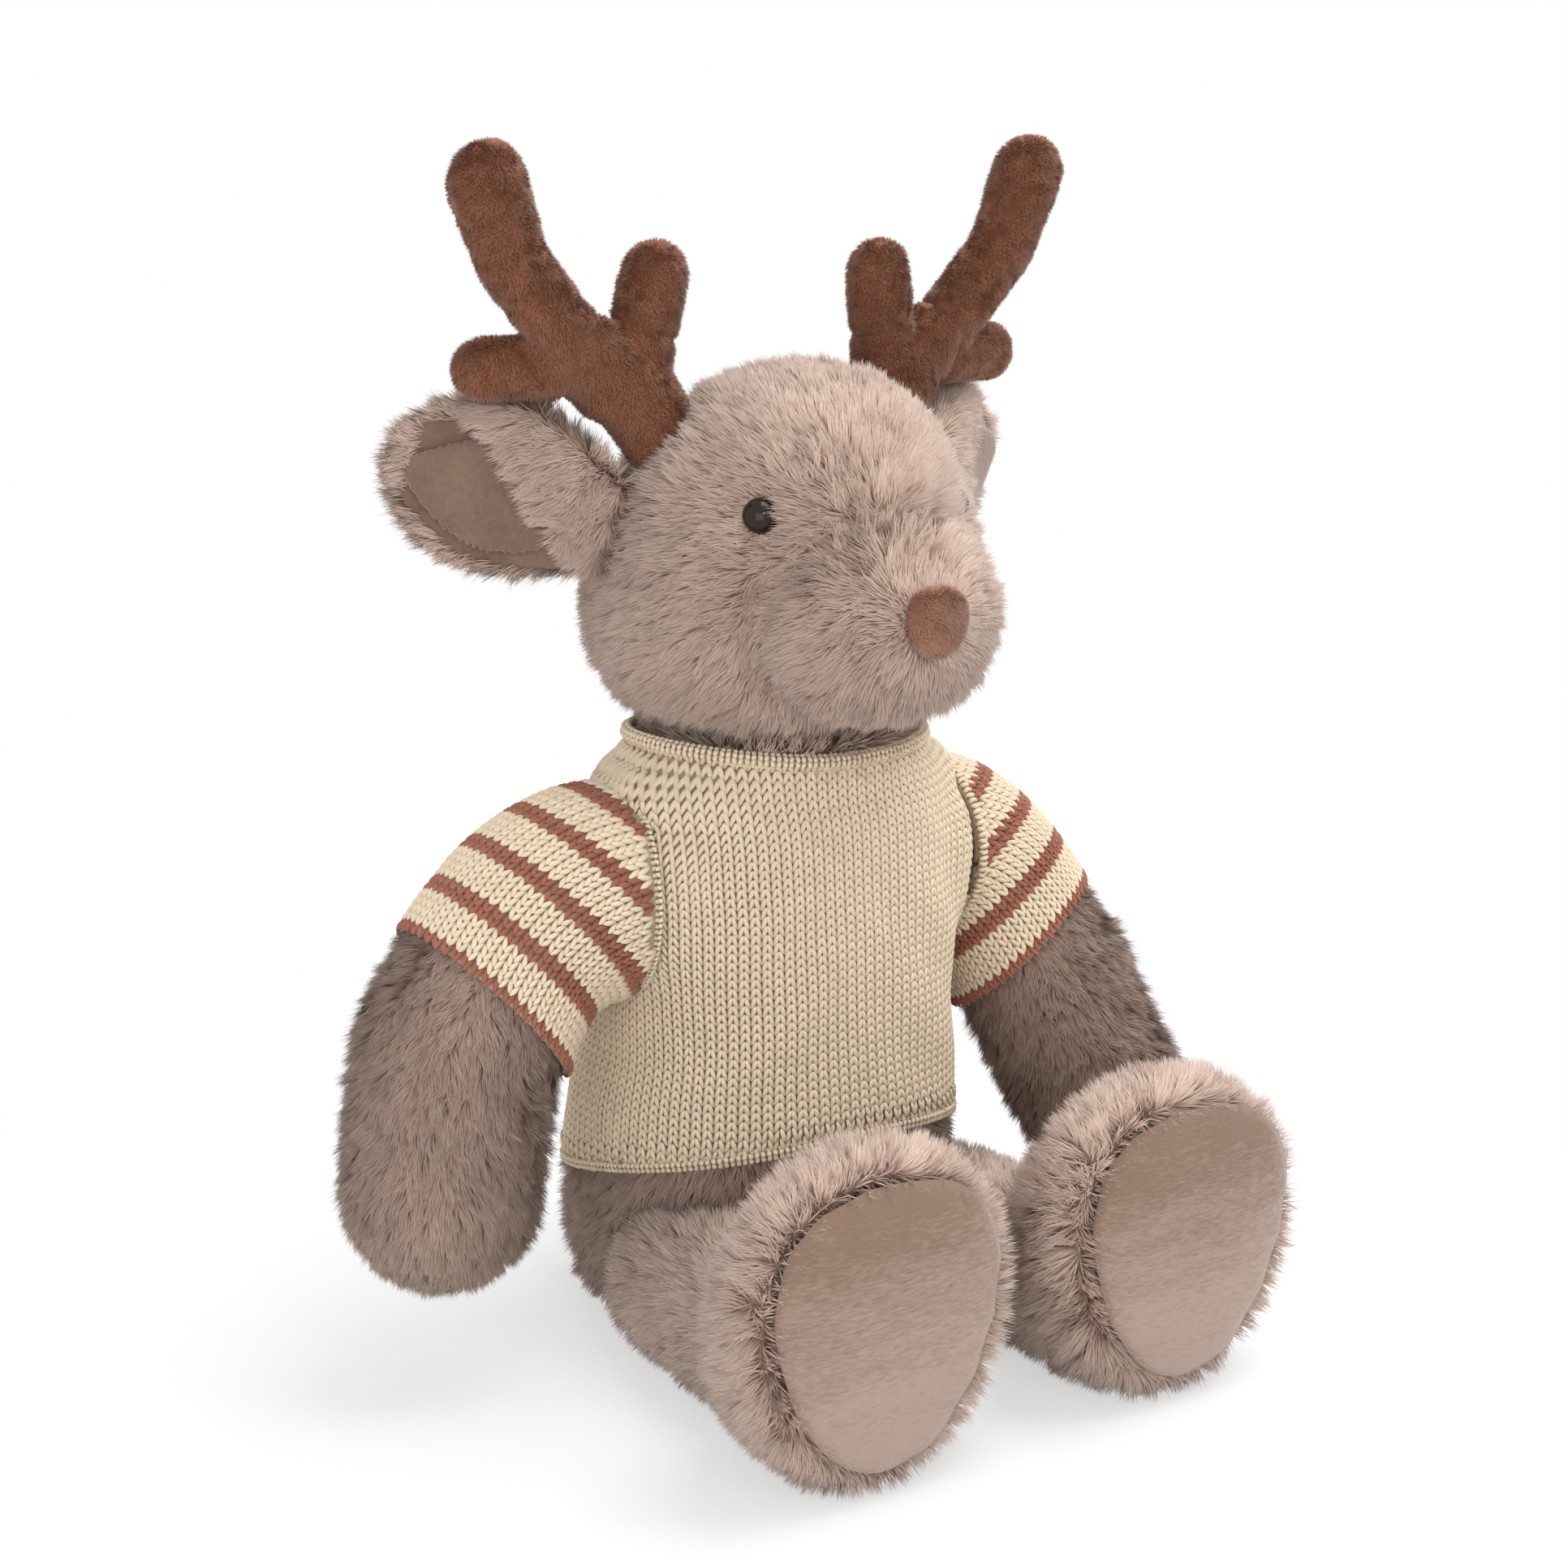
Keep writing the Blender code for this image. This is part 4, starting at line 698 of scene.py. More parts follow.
def makeYarnLeg():
    points, faces, along, across = [yarnDrop["start"]], [], [0.0], [0.5]
    around = yarnDrop["around"]
    for z, radius, rise in yarnDrop["rings"]:
        for k in range(around):
            turn = 2 * math.pi * k / around
            points.append((radius * math.cos(turn), rise + radius * yarnDrop["flat"] * math.sin(turn), z))
            along.append(z + 0.5)
            across.append(0.5 + 0.5 * math.cos(turn))
    points.append(yarnDrop["end"])
    along.append(1.0)
    across.append(0.5)
    last = len(points) - 1
    for k in range(around):
        n = (k + 1) % around
        faces.append((0, 1 + n, 1 + k))
        faces.append((last, last - around + k, last - around + n))
        for row in range(1, last - around, around):
            faces.append((row + k, row + n, row + around + n, row + around + k))
    data = meshOf("yarnLeg", points, faces)
    addField(data, "along", "FLOAT", along)
    addField(data, "across", "FLOAT", across)
    return link("yarnLeg", data)


yarnLeg = makeYarnLeg()
pile = pileTree(furStrands, blade)
napAntler = pileTree(minkyNap, blade)
napNose = pileTree(noseNap, blade)
creamStitch = stitchTree(creamYarn, yarnLeg)
rustStitch = stitchTree(rustYarn, yarnLeg)
print("materials and trees done")


lightShare = {"furred": 0.22, "bare": 0.5}


# The cloth under the fur needs few faces once the fur has grown
def lighter(obj, share):
    step = obj.modifiers.new("lighter", "DECIMATE")
    step.ratio = share
    made = evaluated(obj)
    obj.modifiers.clear()
    old = obj.data
    made.name = old.name + "Light"
    obj.data = made
    bpy.data.meshes.remove(old)
    made.shade_smooth()


# The skin stands for its CAD solids, and its fur rides with it
def dress(skin, fur, body, replaced, cloth=furSkinShade):
    lighter(skin, lightShare["furred" if fur else "bare"])
    skin.data.materials.clear()
    skin.data.materials.append(cloth)
    dropFields(skin.data, skinFields)
    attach(skin, body)
    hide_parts(*replaced)
    if fur:
        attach(fur, body)


# Head and muzzle

head = {
    "voxel": 0.0016, "smooth": 5, "inset": -0.0012, "density": 5.8e6, "pile": 0.0060, "width": 0.00048,
    "seamDepth": 0.0030, "seamWidth": 0.0030, "seamFade": (0.190, 0.200),
    "bridge": (0, -0.0475, 0.2085), "bridgeRise": 0.0030, "bridgeSize": (0.016, 0.012, 0.009),
    "eyeDent": 0.0010, "eyeDentWidth": 0.0085, "nose": (0, -0.060, 0.182),
    "creaseDepth": 0.0018, "creaseWidth": 0.0075, "creaseShort": 0.30, "creaseTop": (0.80, -0.010, 0.232),
    "crown": (0.205, 0.232), "brow": (0.0075, -0.0040, 0.0005), "browWidth": 0.0050, "browLong": 0.45,
    "byEye": (0.0045, 0.0085), "byEyeShort": 0.30, "bareEye": (0.0032, 0.0042),
    "byNose": (0.008, 0.020), "byNoseShort": 0.36, "bareNose": (0.0050, 0.0068),
    "tuft": (0, -0.047, 0.203), "tuftWidth": 0.012, "tuftLong": 0.35,
}


def surfaceTree(node):
    data = nodes[node].data
    return BVHTree.FromPolygons([tuple(v.co) for v in data.vertices], [tuple(f.vertices) for f in data.polygons])


def reachTo(node, points):
    tree = surfaceTree(node)
    return np.array([tree.find_nearest(Vector(p))[3] for p in points])


def middleOf(node):
    low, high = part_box(node)
    return np.array((low + high) / 2)


def makeHead():
    within = ["head_skin", "head_filling", "muzzle_skin", "eye_washer_right", "eye_washer_left"]
    skin = clothFrom("headCloth", within, head)
    points = coords(skin.data)
    nose = np.array(head["nose"])
    # The muzzle is sewn to the skull; the seam pulls in, and so does the stitch through each eye
    toSkull, toMuzzle = reachTo("head_skin", points), reachTo("muzzle_skin", points)
    seam = hump(toSkull - toMuzzle, head["seamWidth"])
    seam *= 1 - smoothStep(*head["seamFade"], points[:, 2]) * 0.85
    points -= normals(skin.data) * (seam * head["seamDepth"])[:, None]
    # The bridge between skull and muzzle is filled, and runs on without a dip
    off = (points - np.array(head["bridge"])) / np.array(head["bridgeSize"])
    points += normals(skin.data) * (head["bridgeRise"] * np.exp(-np.sum(off**2, axis=1)))[:, None]
    short = np.ones(len(points))
    for side in sides:
        eyeAt = middleOf(f"eye_{side}")
        apart = np.linalg.norm(points - eyeAt, axis=1)
        points -= normals(skin.data) * (head["eyeDent"] * hump(apart, head["eyeDentWidth"]))[:, None]
        # The crease from the eye up to the antler
        inward, forward, high = head["creaseTop"]
        foot = middleOf(f"antler_{side}") * np.array((inward, 1, 0)) + np.array((0, forward, high))
        line = foot - eyeAt
        t = np.clip(((points - eyeAt) @ line) / (line @ line), 0, 1)
        off = np.linalg.norm(points - eyeAt - t[:, None] * line, axis=1)
        crease = hump(off, head["creaseWidth"]) * (1 - t)
        short *= 1 - head["creaseShort"] * crease
        points -= normals(skin.data) * (crease * head["creaseDepth"])[:, None]
    setCoords(skin.data, points)
    away = unit(points - nose)
    # The fur runs back from the nose, down on the cheeks and muzzle, and lies down on the crown
    ways = away * 0.9 + np.array((0, 0.15, -0.55))
    top = smoothStep(*head["crown"], points[:, 2])[:, None]
    ways = ways * (1 - top) + (away * 0.9 + np.array((0, 0.5, 0))) * top
    long = short
    grow = np.ones(len(points))
    for side, sign in sides.items():
        # A tuft on the bridge's side leans over the eye
        eyeAt = middleOf(f"eye_{side}")
        brow = eyeAt + np.array(head["brow"]) * (-sign, 1, 1)
        brow = hump(np.linalg.norm(points - brow, axis=1), head["browWidth"])
        long = long * (1 + head["browLong"] * brow)
        ways += brow[:, None] * np.array((sign * 1.3, -0.5, 0.1))
        apart = np.linalg.norm(points - eyeAt, axis=1)
        near = 1 - smoothStep(*head["byEye"], apart)
        long *= 1 - head["byEyeShort"] * near
        ways += unit(points - eyeAt) * near[:, None] * 1.1
        grow *= smoothStep(*head["bareEye"], apart)
    apart = np.linalg.norm(points - nose, axis=1)
    near = 1 - smoothStep(*head["byNose"], apart)
    long *= 1 - head["byNoseShort"] * near
    ways += unit(points - nose) * near[:, None] * 1.2
    grow *= smoothStep(*head["bareNose"], apart)
    long *= 1 - 0.50 * seam
    # The tuft on the bridge of the muzzle
    tuft = hump(np.linalg.norm(points - np.array(head["tuft"]), axis=1), head["tuftWidth"])
    long *= 1 + head["tuftLong"] * tuft
    combed(skin, ways, long, grow)
    coats = [grown(skin, pile, {
        "Strands per area": head["density"] * 0.5, "Length": head["pile"] * share, "Width": head["width"],
        "Stand": stand, "Wander": 0.55, "Tuft size": 0.011, "Stray": 0.22, "Seed": seed}, name)
        for name, share, stand, seed in (("headFur", 1.0, 0.70, 11), ("headUnderfur", 0.88, 0.95, 12))]
    dress(skin, coats[0], "head", within)
    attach(coats[1], "head")


makeHead()
print("head done")


# Eyes and nose

# A round piece about the outward axis; the profile is rows of (reach, radius)
def lathe(name, place, outward, profile, around=40):
    outward = Vector(outward).normalized()
    level = outward.cross(Vector((0, 0, 1))).normalized()
    up = level.cross(outward)
    points, faces = [], []
    for reach, radius in profile:
        for k in range(around):
            turn = 2 * math.pi * k / around
            points.append(Vector(place) + outward * reach + level * (radius * math.cos(turn))
                          + up * (radius * math.sin(turn)))
    last = len(profile) - 1
    for row in range(last):
        for k in range(around):
            n = (k + 1) % around
            a, b = row * around, (row + 1) * around
            faces.append((a + k, a + n, b + n, b + k))
    faces.append(tuple(range(around))[::-1])
    faces.append(tuple(last * around + k for k in range(around)))
    data = meshOf(name, points, faces)
    faceOutwards(data)
    data.shade_smooth()
    return link(name, data)


eye = {
    "radius": 0.0042, "dome": 0.0034, "out": -0.0028, "rings": 12, "firstRing": 0.25,
    # Below the dome: how far in, and the share of the radius there
    "rim": (0.0010, 1.02), "back": (0.0030, 0.9),
}


def makeEyes():
    for side in sides:
        centre = middleOf(f"eye_{side}")
        outward = unit(centre - middleOf(f"eye_washer_{side}"))
        # The crown is the CAD eye's farthest point outward
        reach = max(np.dot(coords(nodes[f"eye_{side}"].data) - centre, outward))
        crown = centre + outward * (reach + eye["out"])
        profile = []
        for k in range(eye["rings"]):
            turn = math.pi / 2 * (k + eye["firstRing"]) / (eye["rings"] - 1 + eye["firstRing"])
            profile.append((-eye["dome"] * (1 - math.cos(turn)), eye["radius"] * math.sin(turn)))
        for reach, share in (eye["rim"], eye["back"]):
            profile.append((-eye["dome"] - reach, eye["radius"] * share))
        made = lathe(f"eyeButton_{side}", crown, outward, profile)
        made.data.materials.append(eyeGloss)
        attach(made, "head")
        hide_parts(f"eye_{side}")


noseVelour = {
    "voxel": 0.0006, "smooth": 4, "inset": 0.0006, "density": 16e6, "nap": 0.0011, "width": 0.00037,
}


def makeNose():
    skin = clothFrom("noseCloth", ["nose_pad"], noseVelour)
    count = len(skin.data.vertices)
    combed(skin, np.tile((0.10, 0.0, -0.55), (count, 1)), np.ones(count), np.ones(count))
    fur = grown(skin, napNose, {
        "Strands per area": noseVelour["density"], "Length": noseVelour["nap"], "Width": noseVelour["width"],
        "Stand": 0.7, "Wander": 0.25, "Tuft size": 0.005, "Stray": 0.25, "Clump": 0.0, "Parting": 0.3,
        "Seed": 5}, "noseNap")
    dress(skin, fur, "head", ["nose_pad"], noseCloth)


makeEyes()
makeNose()
print("eyes and nose done")


# Antlers

antler = {
    "voxel": 0.0011, "smooth": 6, "inset": -0.0002, "density": 8.4e6, "nap": 0.0013, "width": 0.00046,
    "tineRadius": 0.0090,
    "mainTine": {"right": (0.036, -0.005, 0.0395), "left": (0.036, -0.005, 0.0425)},
    "seamDepth": 0.00045, "seamWidth": 0.0007,
    "creaseDepth": 0.0008, "creaseWidth": 0.0010, "creaseReach": (0.0105, 0.0125), "creaseShort": 0.55,
    # From the palm: how far up the main tine its crease is, and the root and way of the other two
    "mainCrease": 0.013,
    "creases": (((0.014, 0, -0.002), (1, 0, 0)), ((-0.007, 0, 0.006), (-0.35, 0, 0.94))),
}


def makeAntlers():
    for side, sign in sides.items():
        node = f"antler_{side}"
        skin = clothFrom(f"antlerCloth_{side}", [node], antler)
        points = coords(skin.data)
        outward = normals(skin.data)
        # Two layers of cloth are sewn together round the edge, in the antler's own plane
        flat = np.polyfit(points[:, 2], points[:, 1], 1)
        groove = hump(points[:, 1] - np.polyval(flat, points[:, 2]), antler["seamWidth"]) * antler["seamDepth"]
        points -= outward * groove[:, None]
        # A crease runs across the root of each tine
        main = np.array(antler["mainTine"][side]) * (sign, 1, 1)
        ahead = unit(main)
        palm = points[np.argmax(points @ ahead)] - ahead * antler["tineRadius"] - main
        crease = np.zeros(len(points))
        mirror = np.array((sign, 1, 1))
        roots = [(palm + ahead * antler["mainCrease"], ahead)]
        roots += [(palm + mirror * root, unit(mirror * np.array(way, float))) for root, way in antler["creases"]]
        for root, way in roots:
            level, apart = besideAxis(points, root, way)
            crease += hump(level, antler["creaseWidth"]) * (1 - smoothStep(*antler["creaseReach"], apart))
        crease = np.minimum(crease, 1)
        points -= outward * (crease * antler["creaseDepth"])[:, None]
        setCoords(skin.data, points)
        ways = unit(points - points.mean(0)) * 0.15 + np.array((0, 0.15, -0.7))
        combed(skin, ways, 1 - antler["creaseShort"] * crease, np.ones(len(points)))
        fur = grown(skin, napAntler, {
            "Strands per area": antler["density"], "Length": antler["nap"], "Width": antler["width"],
            "Stand": 0.75, "Wander": 0.4, "Tuft size": 0.005, "Stray": 0.25, "Clump size": 0.0022,
            "Clump": 40.0, "Parting": 0.5, "Seed": 21 + sign}, f"antlerNap_{side}")
        dress(skin, fur, "head", [node], minky)


makeAntlers()
print("antlers done")


# Ears

ear = {
    # The ears' fur is painted lighter as painted light, the left ear most
    "voxel": 0.0010, "smooth": 5, "inset": 0.0, "tone": {"right": 0.05, "left": 0.35},
    "density": 10.8e6, "pile": 0.0060, "width": 0.00045, "foldRise": 0.0034,
    "foldAlong": (0, 0.3, 0.5, 0.65, 0.8, 1), "foldHigh": (-0.65, -0.17, 0.30, 0.55, 0.75, 0.60),
    # Half the ear's height along it, and where the fur of its rim begins and is full
    "wideAlong": (0, 0.4, 0.6, 0.9, 1), "wide": (0.7, 1, 1, 0.6, 0.3), "leastWide": 0.2,
    "lowRim": (0.86, 0.96), "highRim": (0.77, 0.89), "tipRim": (0.89, 0.96), "lined": (0.15, 0.45),
}
earLining = {"voxel": 0.0007, "smooth": 4, "inset": 0.0003}


def makeEars():
    for side, sign in sides.items():
        node = f"ear_fur_{side}"
        skin = clothFrom(f"earCloth_{side}", [node], ear)
        points = coords(skin.data)
        joint = jointOf(f"ear_{side}")
        root = np.array(joint["pos_m"])
        up = unit(np.array(joint["axis"])) * (1 if joint["axis"][2] > 0 else -1)
        tip = points[np.argmax(np.linalg.norm(points - root, axis=1))]
        along = unit(tip - root - up * np.dot(tip - root, up))
        front = np.cross(along, up)
        front = front * (-1 if front[1] > 0 else 1)
        local = points - root
        s = local @ along / np.max(local @ along)
        h = local @ up / np.max(np.abs(local @ up))
        facing = normals(skin.data) @ front
        # The upper fold covers the lining near the head
        fold = smoothStep(-0.02, 0.12, h - np.interp(s, ear["foldAlong"], ear["foldHigh"]))
        begins, full = (np.where(h < 0, low, high) for low, high in zip(ear["lowRim"], ear["highRim"]))
        wide = np.maximum(np.interp(s, ear["wideAlong"], ear["wide"]), ear["leastWide"])
        rim = np.maximum(smoothStep(begins, full, np.abs(h) / wide), smoothStep(*ear["tipRim"], s))
        lined = smoothStep(*ear["lined"], facing)
        grow = 1 - lined * (1 - np.maximum(fold, rim))
        rise = lined * fold * smoothStep(0.0, 0.2, s) * (1 - smoothStep(0.55, 0.9, s)) * ear["foldRise"]
        points = points + front * rise[:, None]
        setCoords(skin.data, points)
        ways = along * 0.75 + up * (-0.5 * fold * lined)[:, None] + np.array((0, 0.25, -0.15))
        combed(skin, ways, 1 - 0.35 * lined * (1 - fold), grow)
        fur = grown(skin, pile, {
            "Strands per area": ear["density"], "Length": ear["pile"], "Width": ear["width"],
            "Stand": 0.60, "Wander": 0.5, "Tuft size": 0.008, "Stray": 0.25, "Tone": ear["tone"][side],
            "Seed": 31 + sign}, f"earFur_{side}")
        dress(skin, fur, f"ear_{side}", [node], cloth=velourEar)
        node = f"ear_lining_{side}"
        lining = clothFrom(f"earLining_{side}", [node], earLining)
        dress(lining, None, f"ear_{side}", [node], velourEar)


makeEars()
print("ears done")


# Arms; the middle lines repeat the CAD's

arm = {
    # Both arms' fur is painted darker as painted shade, the left arm most
    "voxel": 0.0015, "smooth": 5, "inset": -0.0008, "tone": {"right": -0.43, "left": -0.55},
    "density": 7.5e6, "pile": 0.0058, "width": 0.00047,
    "cuffShare": 0.52, "cuffTilt": 0.42, "furFromCuff": (-0.0060, -0.0030),
    "elbowOut": 0.0030, "elbowAt": 0.62, "elbowWidth": 0.16,
    "rootRadius": 0.0195, "radius": {"right": 0.0225, "left": 0.0205},
    "radiusAlong": (0.00, 0.10, 0.30, 0.55, 0.80, 1.00), "radiusShare": (0.00, 0.55, 0.92, 0.99, 1.04, 1.00),
    "end": {"right": (0.0505, 0.0, -0.0650), "left": (0.0350, -0.0410, -0.0690)},
    "lastWay": {"right": (0.085, 0.0), "left": (0.277, 0.537)},
    "rootPull": {"right": 0.0330, "left": 0.0300}, "endPull": 0.0300,
}


def armPath(side):
    sign = sides[side]
    joint = jointOf(f"arm_{side}")
    start = np.array(joint["pos_m"])
    axis = np.array(joint["axis"])
    axis = unit(axis * (1 if axis[0] * sign > 0 else -1))
    far = np.array(arm["end"][side])
    end = start + np.array((sign * far[0], far[1], far[2]))
    outward, ahead = arm["lastWay"][side]
    last = np.array((sign * outward, -ahead, -math.sqrt(1 - outward**2 - ahead**2)))
    return start, start + axis * arm["rootPull"][side], end - last * arm["endPull"], end


def onPath(path, t):
    a, b, c, d = path
    t = np.asarray(t, float)[..., None]
    u = 1 - t
    place = a * u**3 + b * (3 * u * u * t) + c * (3 * u * t * t) + d * t**3
    way = unit((b - a) * (u * u) + (c - b) * (2 * u * t) + (d - c) * (t * t))
    return place, way


# The middle of the cuff, and the way it faces: a little outward of the arm's own
def cuffOf(path):
    place, way = onPath(path, arm["cuffShare"])
    return place, unit(way + unit(path[1] - path[0]) * arm["cuffTilt"])


def makeArms():
    for side, sign in sides.items():
        within = [f"arm_skin_{side}", f"arm_filling_{side}"]
        skin = clothFrom(f"armCloth_{side}", within, arm)
        points = coords(skin.data)
        path = armPath(side)
        ts = np.linspace(0, 1, 81)
        line, way = onPath(path, ts)
        nearest = np.argmin(np.linalg.norm(points[:, None, :] - line[None], axis=2), axis=1)
        t = ts[nearest]
        ways = way[nearest] * 0.75 + np.array((0, 0, -0.2))
        cuff, square = cuffOf(path)
        grow = smoothStep(*arm["furFromCuff"], (points - cuff) @ square)
        outside = points[:, 0] * sign > line[nearest][:, 0] * sign
        points[:, 0] += sign * arm["elbowOut"] * hump(t - arm["elbowAt"], arm["elbowWidth"]) * outside
        setCoords(skin.data, points)
        combed(skin, ways, 0.75 + 0.25 * smoothStep(0.5, 0.7, t), grow)
        fur = grown(skin, pile, {
            "Strands per area": arm["density"], "Length": arm["pile"], "Width": arm["width"],
            "Stand": 0.66, "Wander": 0.5, "Tuft size": 0.010, "Stray": 0.22, "Tone": arm["tone"][side],
            "Seed": 41 + sign}, f"armFur_{side}")
        dress(skin, fur, f"arm_{side}", within)


makeArms()
print("arms done")


# Legs and sole pads

leg = {
    "voxel": 0.0016, "smooth": 5, "inset": -0.0026, "density": 5.6e6, "pile": 0.0062, "width": 0.00048,
    # The legs' fur is painted lighter, as painted light
    "tone": 0.40, "bareFromHip": (0.006, 0.012), "foot": (-0.085, -0.062), "soleReach": 0.008,
}
pad = {
    "rise": 0.0022, "rings": 16, "around": 72, "furFrom": 0.965, "furStep": 0.05, "egg": 0.20, "eggMiddle": 0.35,
    "square": 0.86, "reach": 1.02, "proud": 0.0006, "pucker": 0.00035, "thick": 0.0022,
}


# Wide and flat above, narrow below, like an egg on its point
def eggWide(high):
    return 1 + pad["egg"] * (high - pad["eggMiddle"])


def roundPower(value, power):
    return math.copysign(abs(value) ** power, value)


# The pad: velour cloth, crowned a little, pulled in at its sewn edge
def makePad(side, middle, half, face):
    around, rings = pad["around"], pad["rings"]
    points = []
    for i in range(rings + 1):
        share = i / rings
        reach = share * pad["reach"]
        crown = 1 - share**4 - 0.55 * share**16
        for k in range(around if i else 1):
            turn = 2 * math.pi * k / around
            x = roundPower(math.cos(turn), pad["square"])
            z = roundPower(math.sin(turn), pad["square"] if math.sin(turn) > 0 else 1)
            x = middle[0] + half[0] * reach * x * eggWide(z)
            z = middle[2] + half[2] * reach * z
            pucker = pad["pucker"] * math.sin(turn * 13 + 1.3 * math.sin(turn * 3)) * share**4
            points.append((x, face - pad["rise"] * crown + pad["proud"] + pucker, z))
    faces = []
    for k in range(around):
        n = (k + 1) % around
        faces.append((0, 1 + n, 1 + k))
        for i in range(rings - 1):
            a, b = 1 + i * around, 1 + (i + 1) * around
            faces.append((a + k, a + n, b + n, b + k))
    made = link(f"solePad_{side}", meshOf(f"solePad_{side}", points, faces))
    thick = made.modifiers.new("thick", "SOLIDIFY")
    thick.thickness = pad["thick"]
    thick.offset = -1
    solid = evaluated(made)
    made.modifiers.clear()
    made.data = solid
    faceOutwards(solid)
    solid.shade_smooth()
    solid.materials.clear()
    solid.materials.append(velourSole)
    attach(made, f"leg_{side}")
    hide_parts(f"sole_pad_{side}")


def makeLegs():
    for side, sign in sides.items():
        within = [f"leg_skin_{side}", f"leg_filling_{side}"]
        skin = clothFrom(f"legCloth_{side}", [*within, f"sole_pad_{side}"], leg)
        points = coords(skin.data)
        low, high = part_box(f"sole_pad_{side}")
        middle = np.array((low + high) / 2)
        half = np.array((high - low) / 2)
        spot = (points - middle) / half
        apart = np.sqrt((spot[:, 0] / eggWide(np.clip(spot[:, 2], -1, 1))) ** 2 + spot[:, 2] ** 2)
        sole = smoothStep(0.3, 0.6, -normals(skin.data)[:, 1]) * (points[:, 1] < middle[1] + leg["soleReach"])
        grow = 1 - sole * (1 - smoothStep(pad["furFrom"], pad["furFrom"] + pad["furStep"], apart))
        behindHip = points[:, 1] - jointOf(f"leg_{side}")["pos_m"][1]
        grow = grow * (1 - smoothStep(*leg["bareFromHip"], behindHip))
        # Along the leg to the foot; round the sole the fur stands out and rolls over its edge
        foot = (1 - smoothStep(*leg["foot"], points[:, 1]))[:, None]
        spread = unit((points - middle) * np.array((1, 0, 1)))
        ways = np.array((0, 0.42, -0.25)) * (1 - foot) + (np.array((0, 0.45, -0.1)) + spread * 0.10) * foot
        edge = (sole * smoothStep(0.75, 0.95, apart))[:, None]
        lean = (-0.50 + 1.15 * smoothStep(1.00, 1.18, apart))[:, None]
        ways = ways * (1 - edge) + spread * lean * edge
        combed(skin, ways, 1 + 0.05 * foot[:, 0], grow)
        fur = grown(skin, pile, {
            "Strands per area": leg["density"], "Length": leg["pile"], "Width": leg["width"],
            "Stand": 0.80, "Wander": 0.5, "Tuft size": 0.011, "Stray": 0.22, "Tone": leg["tone"],
            "Seed": 51 + sign}, f"legFur_{side}")
        dress(skin, fur, f"leg_{side}", within)
        makePad(side, middle, half, low.y)


makeLegs()
print("legs done")


# Torso, neck and tail

knit = {
    "wale": 0.00290, "course": 0.00218, "yarn": 0.00132, "legLength": 0.0038, "legLean": 0.34, "legApart": 0.245,
    "collarRadius": 0.0015, "top": 0.1465, "holdAbove": 0.1375, "centreY": 0.006, "armholeRadius": 0.0236,
    "armholeLow": 0.088, "hemFold": 0.0045, "hemRadius": 0.0013, "armholeRoll": 0.0010,
    "yokeFrom": 0.1325, "neckHalf": (0.0385, 0.0310), "neckY": 0.0016,
    "neckHigh": {"front": 0.1465, "right": 0.1505, "left": 0.1480, "back": 0.1490},
    "shoulderRise": {"right": 0.0060, "left": 0.0036},
    "sleeveRoot": {"right": (0.0042, 1.5), "left": (0.0006, 2.0)},
    # The sleeve over the arm, and how far past the cuff's share of the arm its slant may run
    "sleeveLoose": 0.0021, "cuffLoose": 0.0007, "sleeveWales": 52, "shareSpread": 0.16,
    "toneMiddle": 0.5, "toneSpread": 0.22, "hemLevel": 0.08, "armholeBack": 0.0004, "armholeOut": 0.0006,
    # Soft folds between two heights, and a fainter waver everywhere
    "slack": 0.0007, "slackFrom": (0.050, 0.075), "slackTo": (0.105, 0.125), "waver": 0.0005,
    # Rounds of cream and rust, counted from the cuff, which is rust
    "stripes": (1, 4, 2, 4, 2, 4, 2, 4, 2, 4),
}

torso = {
    "voxel": 0.0018, "smooth": 5, "inset": -0.0016, "density": 4.0e6, "pile": 0.0060, "width": 0.00049,
    # The torso's fur is painted darker, as painted shade
    "tone": -0.54,
    "hemFront": 0.0560, "hemBack": 0.0335, "hemCentre": 0.008,
    # Where the fur ends: above the hem, above the neck's foot, outside the neck, round the hips
    "belowHem": (0.004, 0.009), "aboveNeck": (0.1385, 0.1405), "byNeck": (0.024, 0.028), "byHip": (0.0205, 0.0225),
}
tail = {"voxel": 0.0012, "smooth": 5, "inset": -0.0008}
neck = {
    # The neck's fur is painted lighter, as painted light in the shade between head and collar
    "voxel": 0.0014, "smooth": 4, "inset": -0.0010, "tone": 0.45, "bareFrom": (0.153, 0.156), "wider": 0.48,
    "widerTo": (0.150, 0.157), "centre": (0, 0.002, 0),
}


def hemHeight(points):
    turn = np.arctan2(points[:, 1] - torso["hemCentre"], points[:, 0])
    front = (1 - np.sin(turn)) / 2
    return torso["hemBack"] + (torso["hemFront"] - torso["hemBack"]) * front


def bodyFur(skin, inputs, name):
    return grown(skin, pile, {
        "Strands per area": torso["density"], "Length": torso["pile"], "Width": torso["width"], **inputs}, name)


